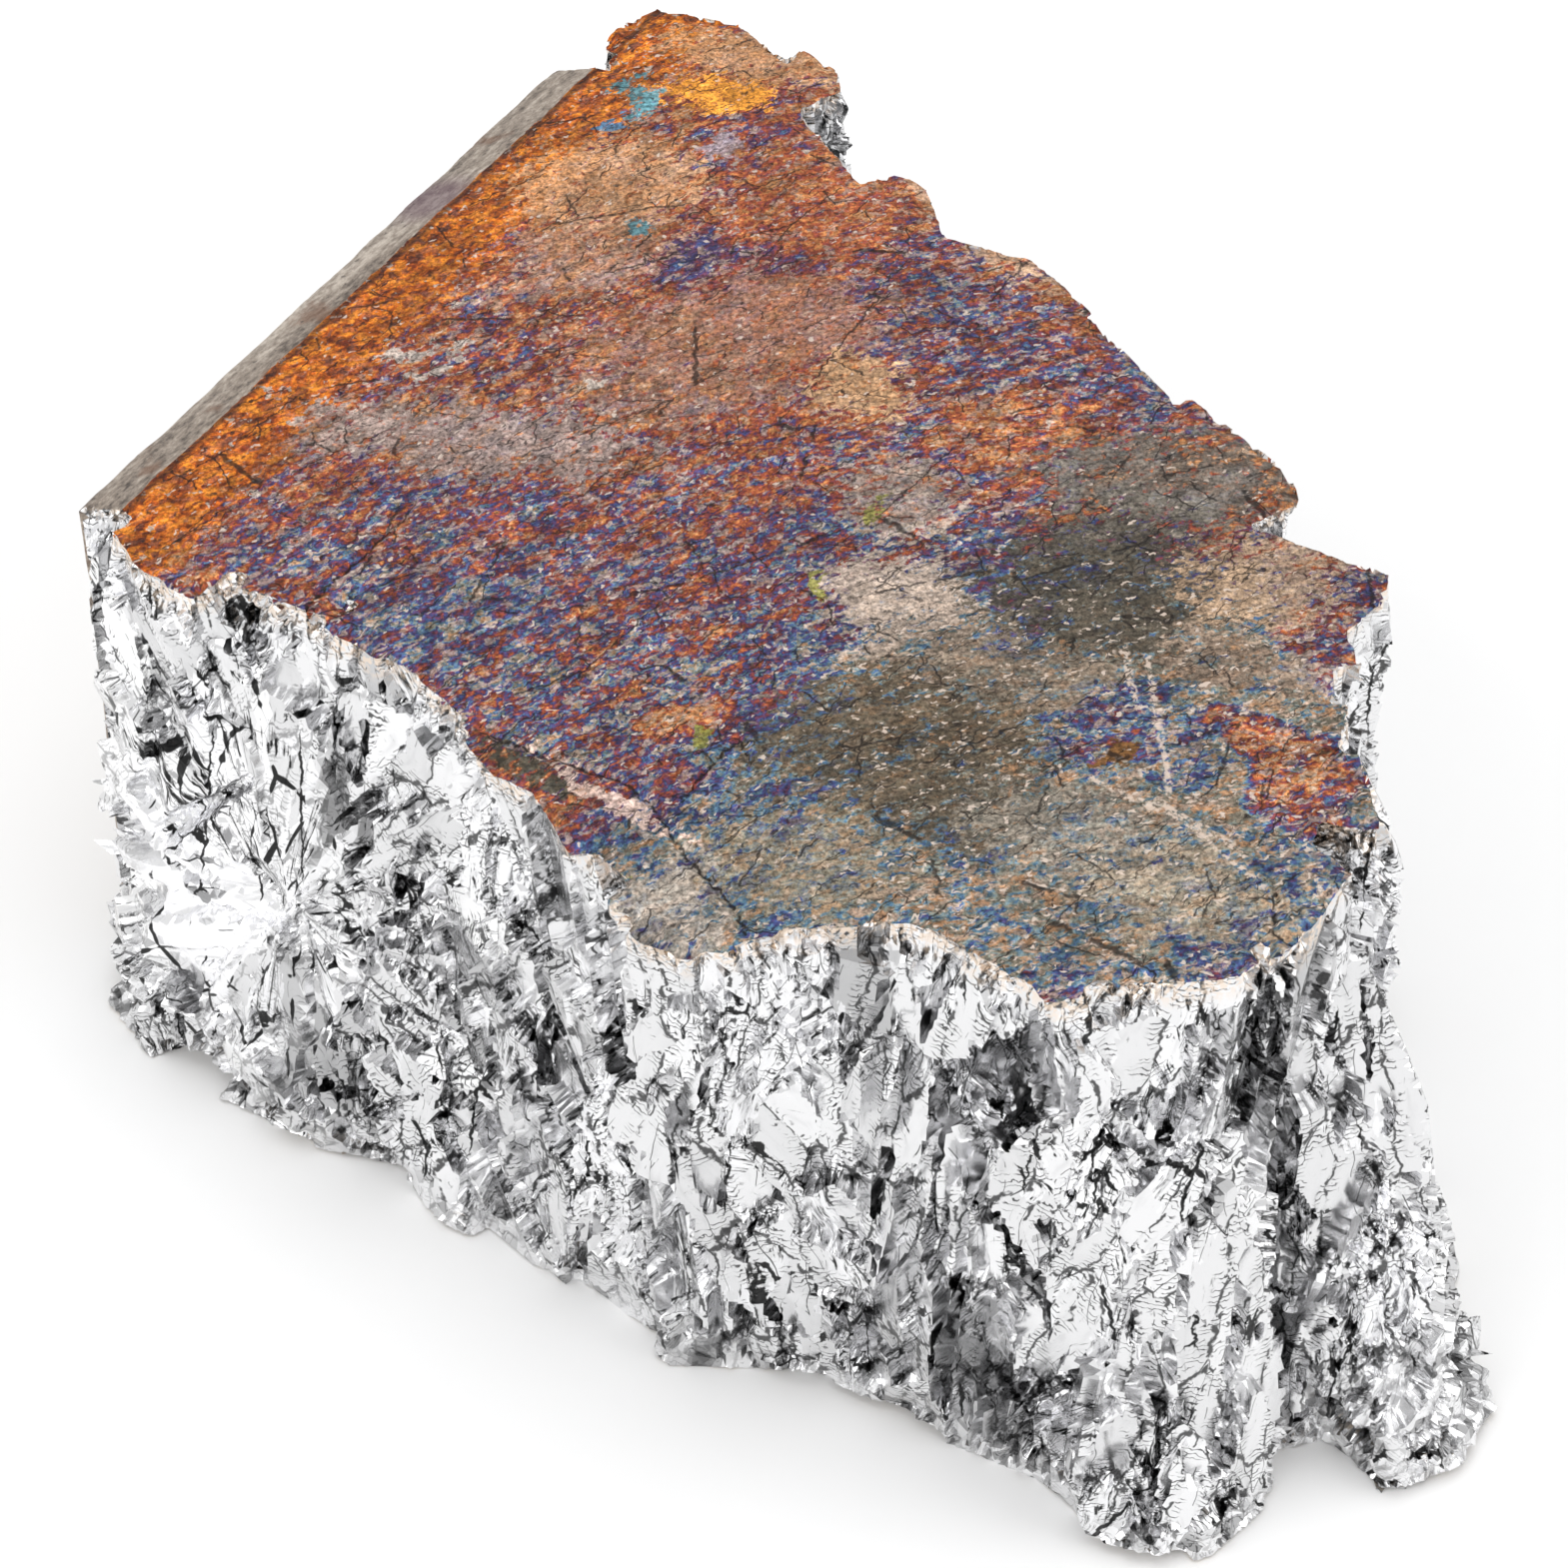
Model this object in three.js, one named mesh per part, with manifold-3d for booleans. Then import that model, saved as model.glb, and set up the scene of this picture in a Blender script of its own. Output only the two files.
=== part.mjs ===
// A lump of bismuth metal, broken from the corner of a cast ingot.
// Its top is the ingot's flat cast face, with a bevel along the one edge that was the mould's side.
// The other sides are fracture: upright grains that broke open on flat, stepped cleavage faces.
// The underside is the ingot's open face, where the grains ended unevenly.
// Millimetres, +Z up. The origin is under the middle of the lump, on the surface it rests on.
import * as THREE from 'three';
import { ConvexGeometry } from 'three/addons/geometries/ConvexGeometry.js';
import { mergeVertices } from 'three/addons/utils/BufferGeometryUtils.js';
import Module from 'manifold-3d';

const wasm = await Module();
wasm.setup();

// Driving dimensions
const THICKNESS = 46; // from the base to the cast face
const BEVEL_WIDTH = 4.0; // the cast edge's bevel, measured level
const BEVEL_DROP = 1.6;
const WALL_DRAFT = 2.3; // how far the mould wall leans out from the bevel to the base
const WAIST_HEIGHT = 20; // above the foot that the right side flares out to
const CORE_INSET = 3.2; // the solid core lies this far inside the broken outline
const CORE_FLOOR = 4.5; // and this far above the base
const MOST_PROUD = 0.9; // no grain stands further out than this from the broken outline
const METAL_GREY = 0xbfc1c4;

// Grains on the broken side
const GRAIN_SPACING = 8.0; // across the grains of the front and the right front
const FAR_SPACING = 14.0; // across those of the right and the back, which are coarser
const FAR_START = 132; // millimetres along the broken side where the coarser ones begin
const GRAIN_STRETCH = 2.2; // how many times longer than wide they are
const GRAIN_OVERLAP = 1.15; // each is grown by this share over its neighbours
const SPLIT_SHARE = 0.14; // the share of them with two small grains beside them
const LEDGE_SHARE = 0.25; // the share with a ledge across them
const GRAIN_DEPTH = 7.5; // how far each reaches into the lump
const GRAIN_PROUD = [-1.7, 0.3]; // where their flats lie, out from the outline
const CLEAVAGE_STEP = [0.45, 1.1]; // height of the ledges across them

// Grains on the underside
const UNDER_SPACING = 20;
const UNDER_RISE = [0.4, 1.8];
const UNDER_SLOPE = [-0.09, 0.09];

// The broken side, from the left end of the cast edge round the front, right and back to its other end.
// Each station is where the side meets the cast face, then where it meets the base. Where it flares out
// to its foot, a third place gives the waist.
const BROKEN_SIDE = [
  [[-45.5, 1.0], [-50.7, 0.3]],
  [[-42.5, -2.0], [-48.1, -5.6]],
  [[-39.0, -4.5], [-43.0, -8.0]],
  [[-32.0, -6.0], [-36.2, -15.0]],
  [[-27.0, -9.5], [-30.0, -16.5]],
  [[-22.5, -14.5], [-25.0, -20.5]],
  [[-19.5, -19.0], [-21.5, -22.5]],
  [[-16.5, -23.5], [-18.3, -25.9]],
  [[-13.5, -28.5], [-14.5, -27.5]],
  [[-10.0, -33.0], [-11.3, -30.4]],
  [[-8.0, -36.0], [-8.7, -32.5]],
  [[-5.0, -37.5], [-5.6, -34.9]],
  [[-2.5, -35.5], [-2.5, -35.5]],
  [[0.0, -35.0], [0.0, -36.5]],
  [[5.0, -36.0], [5.0, -37.0]],
  [[10.5, -37.5], [8.5, -40.0]],
  [[13.0, -39.0], [13.0, -42.5]],
  [[17.5, -41.0], [18.2, -45.4]],
  [[20.5, -40.5], [20.6, -49.0]],
  [[24.5, -40.0], [25.4, -50.4]],
  [[27.5, -38.0], [30.5, -48.5]],
  [[30.5, -36.0], [33.0, -42.0]],
  [[32.5, -33.0], [37.0, -41.0]],
  [[34.5, -30.0], [40.8, -46.1]],
  [[36.0, -27.5], [45.0, -44.0]],
  [[37.0, -25.0], [48.5, -38.0], [41.4, -32.0]],
  [[36.6, -18.5], [47.2, -27.0], [38.1, -22.0]],
  [[37.5, -9.5], [45.0, -15.0], [38.3, -12.0]],
  [[39.7, -3.0], [44.5, -3.0], [40.2, -3.0]],
  [[34.5, 0.0], [44.5, 6.0]],
  [[34.0, 6.0], [41.5, 13.0]],
  [[32.6, 10.6], [39.0, 18.0]],
  [[28.0, 15.3], [34.0, 24.0]],
  [[25.9, 18.8], [31.0, 28.0]],
  [[22.5, 22.5], [28.0, 32.0]],
  [[18.0, 30.0], [22.0, 40.0]],
  [[12.0, 35.0], [17.0, 45.0]],
  [[11.5, 38.5], [14.5, 48.5]],
  [[6.2, 42.0], [10.5, 53.0]],
  [[3.7, 48.0], [8.0, 57.5]],
  [[3.5, 54.5], [6.0, 62.0]],
  [[1.0, 57.0], [2.5, 65.0]],
  [[-3.5, 60.5], [-3.5, 67.5]],
  [[-10.0, 62.5], [-11.0, 68.0]],
  [[-12.3, 60.6], [-13.6, 65.5]],
  [[-13.6, 57.8], [-16.5, 61.5]],
];

// The inner line of the bevel, from the back of the lump to its left corner.
const BEVEL_START = new THREE.Vector2(-14.5, 55.5);
const BEVEL_END = new THREE.Vector2(-45.0, 3.2);
const CAST_STATIONS = 5;

// Places on the underside whose grains end level: the lump stands on them.
const FEET = [[0, 10], [-38, 4], [-26, 30], [-6, 58], [22, 28], [38, -12], [26, -40], [-8, -24], [12, -14]];

// A fan of thin blades near the left corner: places are millimetres along the broken side and up.
const FAN = { along: 17, height: 20, blades: 11, length: [10, 19], width: [1.8, 3.6], from: 62, to: 318 };

// Single grains that stand out, as {along, height, length, width, lean, proud}.
const PROUD_GRAINS = [
  { along: 27, height: 34, length: 17, width: 5.0, lean: 0.05, proud: 0.4 },
  { along: 37, height: 25, length: 20, width: 5.5, lean: -0.3, proud: 0.3 },
  { along: 48, height: 29, length: 14, width: 5.0, lean: -0.1, proud: 0.5 },
  { along: 62, height: 30, length: 18, width: 6.5, lean: 0.12, proud: 0.6 },
  { along: 66, height: 13, length: 20, width: 6.0, lean: 0.0, proud: 0.5 },
  { along: 74, height: 14, length: 22, width: 7.0, lean: 0.1, proud: 0.7 },
  { along: 86, height: 8, length: 14, width: 3.6, lean: -0.1, proud: 1.4 },
  { along: 91, height: 6, length: 12, width: 3.4, lean: 0.1, proud: 1.6 },
  { along: 96, height: 8, length: 15, width: 4.0, lean: 0.0, proud: 1.2 },
  { along: 104, height: 27, length: 16, width: 5.5, lean: 0.15, proud: 0.4 },
  { along: 112, height: 14, length: 20, width: 6.5, lean: -0.1, proud: 0.9 },
  { along: 128, height: 24, length: 18, width: 6.0, lean: 0.2, proud: 0.8 },
];

// Crevices between grains, as {along, height, length, width, depth, lean}.
const CREVICES = [
  { along: 10, height: 26, length: 20, width: 1.3, depth: 3.6, lean: -0.7 },
  { along: 23, height: 37, length: 9, width: 1.2, depth: 3.0, lean: 0.1 },
  { along: 42, height: 22, length: 15, width: 1.3, depth: 3.6, lean: -0.15 },
  { along: 50, height: 34, length: 8, width: 1.4, depth: 3.2, lean: -0.3 },
  { along: 57, height: 32, length: 22, width: 1.6, depth: 4.2, lean: -0.1 },
  { along: 80, height: 18, length: 20, width: 2.0, depth: 4.6, lean: 0.3 },
  { along: 89, height: 9, length: 15, width: 1.2, depth: 4.0, lean: 0.0 },
  { along: 98, height: 38, length: 12, width: 1.6, depth: 4.2, lean: 0.4 },
  { along: 100, height: 13, length: 18, width: 1.8, depth: 4.6, lean: -0.2 },
  { along: 108, height: 33, length: 16, width: 1.2, depth: 3.6, lean: 0.0 },
  { along: 118, height: 20, length: 8, width: 2.2, depth: 3.6, lean: 1.2 },
  { along: 126, height: 12, length: 14, width: 1.6, depth: 4.0, lean: 0.1 },
];
const SPARE_CREVICES = 3; // more of them, spread over the right and the back

// Gas pits: {along, height, radius}.
const PITS = [
  { along: 15, height: 42.5, radius: 1.2 },
  { along: 77, height: 25, radius: 1.5 },
  { along: 150, height: 30, radius: 1.6 },
];

// Rounded beads of metal along the foot of the right front.
const BEADS = { from: 100, to: 128, count: 11, radius: [1.3, 2.7], height: [1, 8] };

// A number from 0 to 1, the same on every run.
let seed = 20;
function random() {
  seed = (seed * 1664525 + 1013904223) % 4294967296;
  return seed / 4294967296;
}
function between(low, high) {
  return low + (high - low) * random();
}

// Stations of the whole outline, with the shoulder, the bevel's lower line, between waist and face.
function outlineStations() {
  const waistShare = WAIST_HEIGHT / THICKNESS;
  const shoulderShare = 1 - BEVEL_DROP / (THICKNESS - WAIST_HEIGHT);
  const made = BROKEN_SIDE.map(([top, bottom, middle]) => {
    const face = new THREE.Vector2(...top);
    const base = new THREE.Vector2(...bottom);
    const waist = middle ? new THREE.Vector2(...middle) : base.clone().lerp(face, waistShare);
    return { face, shoulder: waist.clone().lerp(face, shoulderShare), waist, base, cast: false };
  });
  const outward = BEVEL_END.clone().sub(BEVEL_START).normalize();
  outward.set(outward.y, -outward.x);
  for (let i = 0; i < CAST_STATIONS; i++) {
    const face = BEVEL_START.clone().lerp(BEVEL_END, i / (CAST_STATIONS - 1));
    const shoulder = face.clone().addScaledVector(outward, BEVEL_WIDTH);
    const base = shoulder.clone().addScaledVector(outward, WALL_DRAFT);
    const waist = base.clone().lerp(shoulder, WAIST_HEIGHT / (THICKNESS - BEVEL_DROP));
    made.push({ face, shoulder, waist, base, cast: true });
  }
  return made;
}
const stations = outlineStations();

// The point of a station at a height, on the bent line from its base to its face.
function stationPoint({ face, shoulder, waist, base }, height) {
  const shoulderHeight = THICKNESS - BEVEL_DROP;
  if (height > shoulderHeight) return shoulder.clone().lerp(face, (height - shoulderHeight) / BEVEL_DROP);
  if (height < WAIST_HEIGHT) return base.clone().lerp(waist, height / WAIST_HEIGHT);
  return waist.clone().lerp(shoulder, (height - WAIST_HEIGHT) / (shoulderHeight - WAIST_HEIGHT));
}

// A ring of points at a height, taken in by an inset where the side is broken.
function ring(height, inset) {
  const points = stations.map((station) => stationPoint(station, height));
  return points.map((point, i) => {
    if (stations[i].cast) return point;
    const before = points[(i + points.length - 1) % points.length];
    const after = points[(i + 1) % points.length];
    const along = after.clone().sub(before).normalize();
    return point.clone().add(new THREE.Vector2(-along.y, along.x).multiplyScalar(inset));
  });
}

// The outline's solid from a floor up to the face: a cylinder's grid of vertices moved to rings.
function outlineSolid(inset, floor) {
  const heights = [floor, WAIST_HEIGHT, THICKNESS - BEVEL_DROP, THICKNESS];
  const rings = heights.map((height) => ring(height, inset));
  const columns = stations.length;
  const geometry = new THREE.CylinderGeometry(1, 1, 1, columns, heights.length - 1);
  const position = geometry.getAttribute('position');
  for (let i = 0; i < position.count; i++) {
    const level = Math.round((position.getY(i) + 0.5) * (heights.length - 1));
    const onAxis = Math.hypot(position.getX(i), position.getZ(i)) < 0.5;
    const turn = Math.atan2(position.getX(i), position.getZ(i)) / (2 * Math.PI);
    const column = Math.round(turn * columns + columns) % columns;
    const point = onAxis ? new THREE.Vector2(0, 5) : rings[level][column];
    position.setXYZ(i, point.x, point.y, heights[level]);
  }
  return solid(geometry);
}

// A closed geometry as a solid that can be joined and cut.
function solid(geometry) {
  geometry.deleteAttribute('normal');
  geometry.deleteAttribute('uv');
  const merged = mergeVertices(geometry, 1e-4);
  return new wasm.Manifold(new wasm.Mesh({
    numProp: 3,
    vertProperties: new Float32Array(merged.getAttribute('position').array),
    triVerts: new Uint32Array(merged.index.array),
  }));
}

// The broken side's length, so that a place on it can be given in millimetres from its left end.
const sideLengths = [0];
for (let i = 1; i < BROKEN_SIDE.length; i++) {
  const here = stationPoint(stations[i], THICKNESS / 2);
  const last = stationPoint(stations[i - 1], THICKNESS / 2);
  sideLengths.push(sideLengths[i - 1] + here.distanceTo(last));
}
const SIDE_LENGTH = sideLengths.at(-1);

// A point on the broken side, with no grains: millimetres along it and up.
function sidePoint(along, height) {
  const wanted = THREE.MathUtils.clamp(along, 0, SIDE_LENGTH - 1e-3);
  let i = 1;
  while (sideLengths[i] < wanted) i++;
  const share = (wanted - sideLengths[i - 1]) / (sideLengths[i] - sideLengths[i - 1]);
  const point = stationPoint(stations[i - 1], height).lerp(stationPoint(stations[i], height), share);
  return new THREE.Vector3(point.x, point.y, height);
}

// The outward, upward and sideways directions at a place on the broken side.
function sideFrame(along, height) {
  const reach = 3.5;
  const point = sidePoint(along, height);
  const up = sidePoint(along, THICKNESS).sub(sidePoint(along, 0)).normalize();
  const sideways = sidePoint(along + reach, height).sub(sidePoint(along - reach, height)).normalize();
  const outward = sideways.clone().cross(up).normalize();
  sideways.crossVectors(up, outward);
  return { point, outward, up, sideways };
}

// The part of a convex polygon that lies nearer to its own seed than to another.
function clipToNearer(polygon, own, other) {
  const square = ([x, y], seed) => (x - seed[0]) ** 2 + (y - seed[1]) ** 2;
  return clipPolygon(polygon, (point) => square(point, own) - square(point, other));
}

// The part of a convex polygon where a function that is linear over it is below zero.
function clipPolygon(polygon, side) {
  const kept = [];
  polygon.forEach((point, i) => {
    const next = polygon[(i + 1) % polygon.length];
    const here = side(point);
    const there = side(next);
    if (here <= 0) kept.push(point);
    if (here * there < 0) {
      const share = here / (here - there);
      kept.push([point[0] + (next[0] - point[0]) * share, point[1] + (next[1] - point[1]) * share]);
    }
  });
  return kept;
}

// The lesser side of a polygon's bounding rectangle.
function spread(polygon) {
  if (polygon.length < 3) return 0;
  const sizes = [0, 1].map((axis) => {
    const values = polygon.map((point) => point[axis]);
    return Math.max(...values) - Math.min(...values);
  });
  return Math.min(...sizes);
}

// The polygon round each seed of everything nearer to it than to the others, grown a little to overlap.
function cells(seeds, size, overlap) {
  return seeds.map((own) => {
    const corners = [[-1, -1], [1, -1], [1, 1], [-1, 1]];
    let polygon = corners.map(([x, y]) => [own[0] + x * size, own[1] + y * size]);
    for (const other of seeds) {
      if (other !== own && Math.hypot(other[0] - own[0], other[1] - own[1]) < 2 * size) {
        polygon = clipToNearer(polygon, own, other);
      }
    }
    return polygon.map(([x, y]) => [own[0] + (x - own[0]) * overlap, own[1] + (y - own[1]) * overlap]);
  });
}

// A block of grain behind a polygon of the broken side, with a flat that lies on a tilted plane.
function grainBlock(polygon, centre, proud, turn, tip) {
  const { point, outward, up, sideways } = sideFrame(...centre);
  const facing = outward.clone().addScaledVector(sideways, turn).addScaledVector(up, tip);
  const onFlat = point.clone().addScaledVector(outward, proud);
  const points = [];
  for (const [along, height] of polygon) {
    const corner = sidePoint(along, height);
    const gap = onFlat.clone().sub(corner).dot(facing) / outward.dot(facing);
    points.push(corner.clone().addScaledVector(outward, gap));
    points.push(corner.clone().addScaledVector(outward, -GRAIN_DEPTH));
  }
  return solid(new ConvexGeometry(points));
}

// The seeds of the grains: a jittered grid, with some grains split into several small ones.
function grainSeeds() {
  const seeds = [];
  const rows = Math.round(THICKNESS / (GRAIN_SPACING * GRAIN_STRETCH)) + 1;
  for (let row = 0; row < rows; row++) {
    let along = 0;
    while (along < SIDE_LENGTH) {
      const spacing = along < FAR_START ? GRAIN_SPACING : FAR_SPACING;
      const shifted = along + spacing * (between(-0.42, 0.42) + (row % 2) / 2);
      const x = THREE.MathUtils.clamp(shifted, 1, SIDE_LENGTH - 1);
      const y = (row + between(-0.4, 0.4)) * GRAIN_SPACING;
      seeds.push([x, y]);
      if (along < FAR_START && random() < SPLIT_SHARE) {
        seeds.push([x + between(1.4, 2.4), y + between(-1, 1)]);
        seeds.push([x - between(0, 1.5), y + between(1.4, 2.4)]);
      }
      along += spacing;
    }
  }
  return seeds;
}

// Grains over the whole broken side, some with a cleavage ledge across them.
function sideGrains() {
  const made = [];
  const seeds = grainSeeds();
  const polygons = cells(seeds, 1.6 * GRAIN_SPACING, GRAIN_OVERLAP);
  polygons.forEach((squeezed, i) => {
    const stretch = ([x, y]) => [x, y * GRAIN_STRETCH];
    const centre = stretch(seeds[i]);
    const lowest = Math.max(0, between(-3, 0.9));
    const proud = between(...GRAIN_PROUD);
    const turn = between(-0.4, 0.4);
    const tip = between(-0.22, 0.22);
    const angle = between(-0.5, 0.5) + (random() < 0.5 ? Math.PI / 2 : 0);
    const off = between(-1.5, 1.5);
    const [midX, midY] = centre.map((value) => value + off);
    const ledge = ([x, y]) => (x - midX) * Math.cos(angle) + (y - midY) * Math.sin(angle);
    let polygon = clipPolygon(squeezed.map(stretch), ([, y]) => lowest - y);
    polygon = clipPolygon(polygon, ([, y]) => y - THICKNESS - 2);
    polygon = clipPolygon(polygon, ([x]) => -x);
    polygon = clipPolygon(polygon, ([x]) => x - SIDE_LENGTH);
    if (spread(polygon) < 2) return;
    made.push(grainBlock(polygon, centre, proud, turn, tip));
    const upper = clipPolygon(polygon, ledge);
    if (spread(upper) > 2 && random() < LEDGE_SHARE) {
      made.push(grainBlock(upper, centre, proud + between(...CLEAVAGE_STEP), turn, tip));
    }
  });
  return made;
}

// A leaf-shaped grain with a flat that stands a little proud of its neighbours.
function leafGrain({ along, height, length, width, lean, proud, turn = 0, tip = 0 }) {
  const { point, outward, up, sideways } = sideFrame(along, height);
  const depth = 0.8 * width + 2;
  const points = [];
  const sections = [
    { at: -0.5, scale: 0.15, low: 0.9 },
    { at: between(-0.25, -0.1), scale: 1, low: 0 },
    { at: between(0.1, 0.3), scale: between(0.75, 1), low: 0 },
    { at: 0.5, scale: 0.2, low: 0.9 },
  ];
  for (const { at, scale, low } of sections) {
    const wide = width * scale;
    const high = length * at;
    points.push([-0.36 * wide, -low, high], [0.4 * wide, -low, high]);
    points.push([-0.62 * wide, -low - 1.2, high], [0.6 * wide, -low - 1.5, high]);
    points.push([-0.3 * wide, -depth, high * 0.8], [0.3 * wide, -depth, high * 0.8]);
  }
  const frame = new THREE.Matrix4().makeBasis(sideways.clone().negate(), outward, up);
  frame.multiply(new THREE.Matrix4().makeRotationY(lean));
  frame.multiply(new THREE.Matrix4().makeRotationX(tip));
  frame.multiply(new THREE.Matrix4().makeRotationZ(turn));
  const place = point.addScaledVector(outward, proud);
  const corners = points.map((p) => new THREE.Vector3(...p).applyMatrix4(frame).add(place));
  return solid(new ConvexGeometry(corners));
}

// Blades that fan out from one point near the left corner.
function fanBlades() {
  const made = [];
  for (let i = 0; i < FAN.blades; i++) {
    const angle = THREE.MathUtils.degToRad(FAN.from + ((FAN.to - FAN.from) * i) / (FAN.blades - 1));
    const length = between(...FAN.length);
    const along = FAN.along + Math.cos(angle) * length * 0.55;
    const height = FAN.height + Math.sin(angle) * length * 0.55;
    if (along < 0.5 || height < 2 || height > THICKNESS - 2) continue;
    made.push(leafGrain({
      along,
      height,
      length,
      width: between(...FAN.width),
      lean: angle - Math.PI / 2,
      proud: between(-0.3, 0.7),
      turn: between(-0.35, 0.35),
      tip: between(-0.08, 0.08),
    }));
  }
  return made;
}

// A crevice: a leaf-shaped wedge to cut away.
function crevice({ along, height, length, width, depth, lean }) {
  const { point, outward, up, sideways } = sideFrame(along, height);
  const points = [];
  for (const [at, scale] of [[-0.5, 0.1], [-0.15, 1], [0.2, 0.8], [0.5, 0.1]]) {
    points.push([-width * scale, 1.5, at * length], [width * scale, 1.5, at * length]);
    points.push([between(-0.3, 0.3) * width, -depth * (0.4 + 0.6 * scale), at * length * 0.85]);
  }
  const frame = new THREE.Matrix4().makeBasis(sideways.clone().negate(), outward, up);
  frame.multiply(new THREE.Matrix4().makeRotationY(lean));
  const corners = points.map((p) => new THREE.Vector3(...p).applyMatrix4(frame).add(point));
  return solid(new ConvexGeometry(corners));
}

function allCrevices() {
  const made = CREVICES.map(crevice);
  for (let i = 0; i < SPARE_CREVICES; i++) {
    made.push(crevice({
      along: 140 + ((SIDE_LENGTH - 145) * (i + between(0.1, 0.9))) / SPARE_CREVICES,
      height: between(8, 36),
      length: between(9, 20),
      width: between(0.9, 1.8),
      depth: between(3, 4.5),
      lean: between(-0.35, 0.35),
    }));
  }
  return made;
}

function pits() {
  return PITS.map(({ along, height, radius }) => {
    const { point, outward } = sideFrame(along, height);
    const centre = point.addScaledVector(outward, -0.4);
    return solid(new THREE.IcosahedronGeometry(radius, 0).scale(1, 1, 0.8).translate(...centre.toArray()));
  });
}

function beads() {
  const made = [];
  for (let i = 0; i < BEADS.count; i++) {
    const { point, outward } = sideFrame(between(BEADS.from, BEADS.to), between(...BEADS.height));
    const radius = between(...BEADS.radius);
    const centre = point.addScaledVector(outward, between(-1.2, 0.2) - radius * 0.3);
    const bead = new THREE.IcosahedronGeometry(radius, 0).rotateX(between(0, 3)).rotateY(between(0, 3));
    made.push(solid(bead.translate(...centre.toArray())));
  }
  return made;
}

// Blocks under the core, each ending on its own plane: the feet level on the base, the rest above it.
function underGrains() {
  const outline = ring(0, 0.6);
  const inside = new THREE.Shape(outline);
  const seeds = FEET.map((foot) => [...foot]);
  const feet = seeds.length;
  for (let x = -52; x < 54; x += UNDER_SPACING) {
    for (let y = -52; y < 70; y += UNDER_SPACING) {
      const place = [x + between(-3.4, 3.4), y + between(-3.4, 3.4)];
      if (seeds.slice(0, feet).every((foot) => Math.hypot(foot[0] - place[0], foot[1] - place[1]) > 7)) {
        seeds.push(place);
      }
    }
  }
  const under = cells(seeds, UNDER_SPACING, 1.05).map((polygon, i) => {
    const level = i < feet ? 0 : between(...UNDER_RISE);
    const [slopeX, slopeY] = i < feet ? [0, 0] : [between(...UNDER_SLOPE), between(...UNDER_SLOPE)];
    const [cx, cy] = seeds[i];
    const points = [];
    for (const [x, y] of polygon) {
      const low = Math.max(0, level + slopeX * (x - cx) + slopeY * (y - cy));
      points.push(new THREE.Vector3(x, y, low), new THREE.Vector3(x, y, CORE_FLOOR + 2));
    }
    return solid(new ConvexGeometry(points));
  });
  const bound = new THREE.ExtrudeGeometry(inside, { depth: THICKNESS / 2, bevelEnabled: false });
  return wasm.Manifold.union(under).intersect(solid(bound));
}

// The largest solid of several: loose chips and sealed gaps are dropped.
function largest(made) {
  return made.decompose().reduce((best, body) => (body.volume() > best.volume() ? body : best));
}

function buildLump() {
  const joined = wasm.Manifold.union([
    outlineSolid(CORE_INSET, CORE_FLOOR),
    underGrains(),
    ...sideGrains(),
    ...PROUD_GRAINS.map(leafGrain),
    ...fanBlades(),
    ...beads(),
  ]);
  const cut = wasm.Manifold.union([...allCrevices(), ...pits()]);
  return largest(joined.intersect(outlineSolid(-MOST_PROUD, 0)).subtract(cut));
}

// The solid's triangles as a geometry.
function geometryOf(made) {
  const mesh = made.getMesh();
  return new THREE.BufferGeometry()
    .setAttribute('position', new THREE.BufferAttribute(new Float32Array(mesh.vertProperties), 3))
    .setIndex(new THREE.BufferAttribute(new Uint32Array(mesh.triVerts), 1));
}

const geometry = geometryOf(buildLump());
geometry.computeBoundingBox();
const { min, max } = geometry.boundingBox;
geometry.translate(-(min.x + max.x) / 2, -(min.y + max.y) / 2, -min.z);

const bismuth = new THREE.MeshStandardMaterial({
  color: METAL_GREY,
  roughness: 0.25,
  metalness: 1,
  flatShading: true,
});
const lump = new THREE.Mesh(geometry, bismuth);
lump.name = 'bismuth_lump';

const part = new THREE.Group();
part.add(lump);
export default part;
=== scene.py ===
import math
from collections import namedtuple

import bpy
import numpy as np
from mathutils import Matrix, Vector
from mathutils.kdtree import KDTree


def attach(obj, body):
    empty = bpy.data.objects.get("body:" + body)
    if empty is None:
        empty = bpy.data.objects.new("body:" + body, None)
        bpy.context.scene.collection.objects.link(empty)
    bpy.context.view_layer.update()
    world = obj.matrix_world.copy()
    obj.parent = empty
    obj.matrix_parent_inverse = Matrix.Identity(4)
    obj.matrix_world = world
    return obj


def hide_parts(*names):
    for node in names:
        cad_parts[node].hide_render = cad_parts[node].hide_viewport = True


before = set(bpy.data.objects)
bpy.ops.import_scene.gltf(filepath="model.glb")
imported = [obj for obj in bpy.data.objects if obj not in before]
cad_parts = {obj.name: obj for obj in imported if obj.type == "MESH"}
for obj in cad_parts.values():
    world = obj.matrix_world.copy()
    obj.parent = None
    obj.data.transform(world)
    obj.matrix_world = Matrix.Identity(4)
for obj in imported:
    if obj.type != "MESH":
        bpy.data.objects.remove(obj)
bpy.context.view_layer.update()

MM = 0.001
UP = np.array([0, 0, 1])

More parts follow.
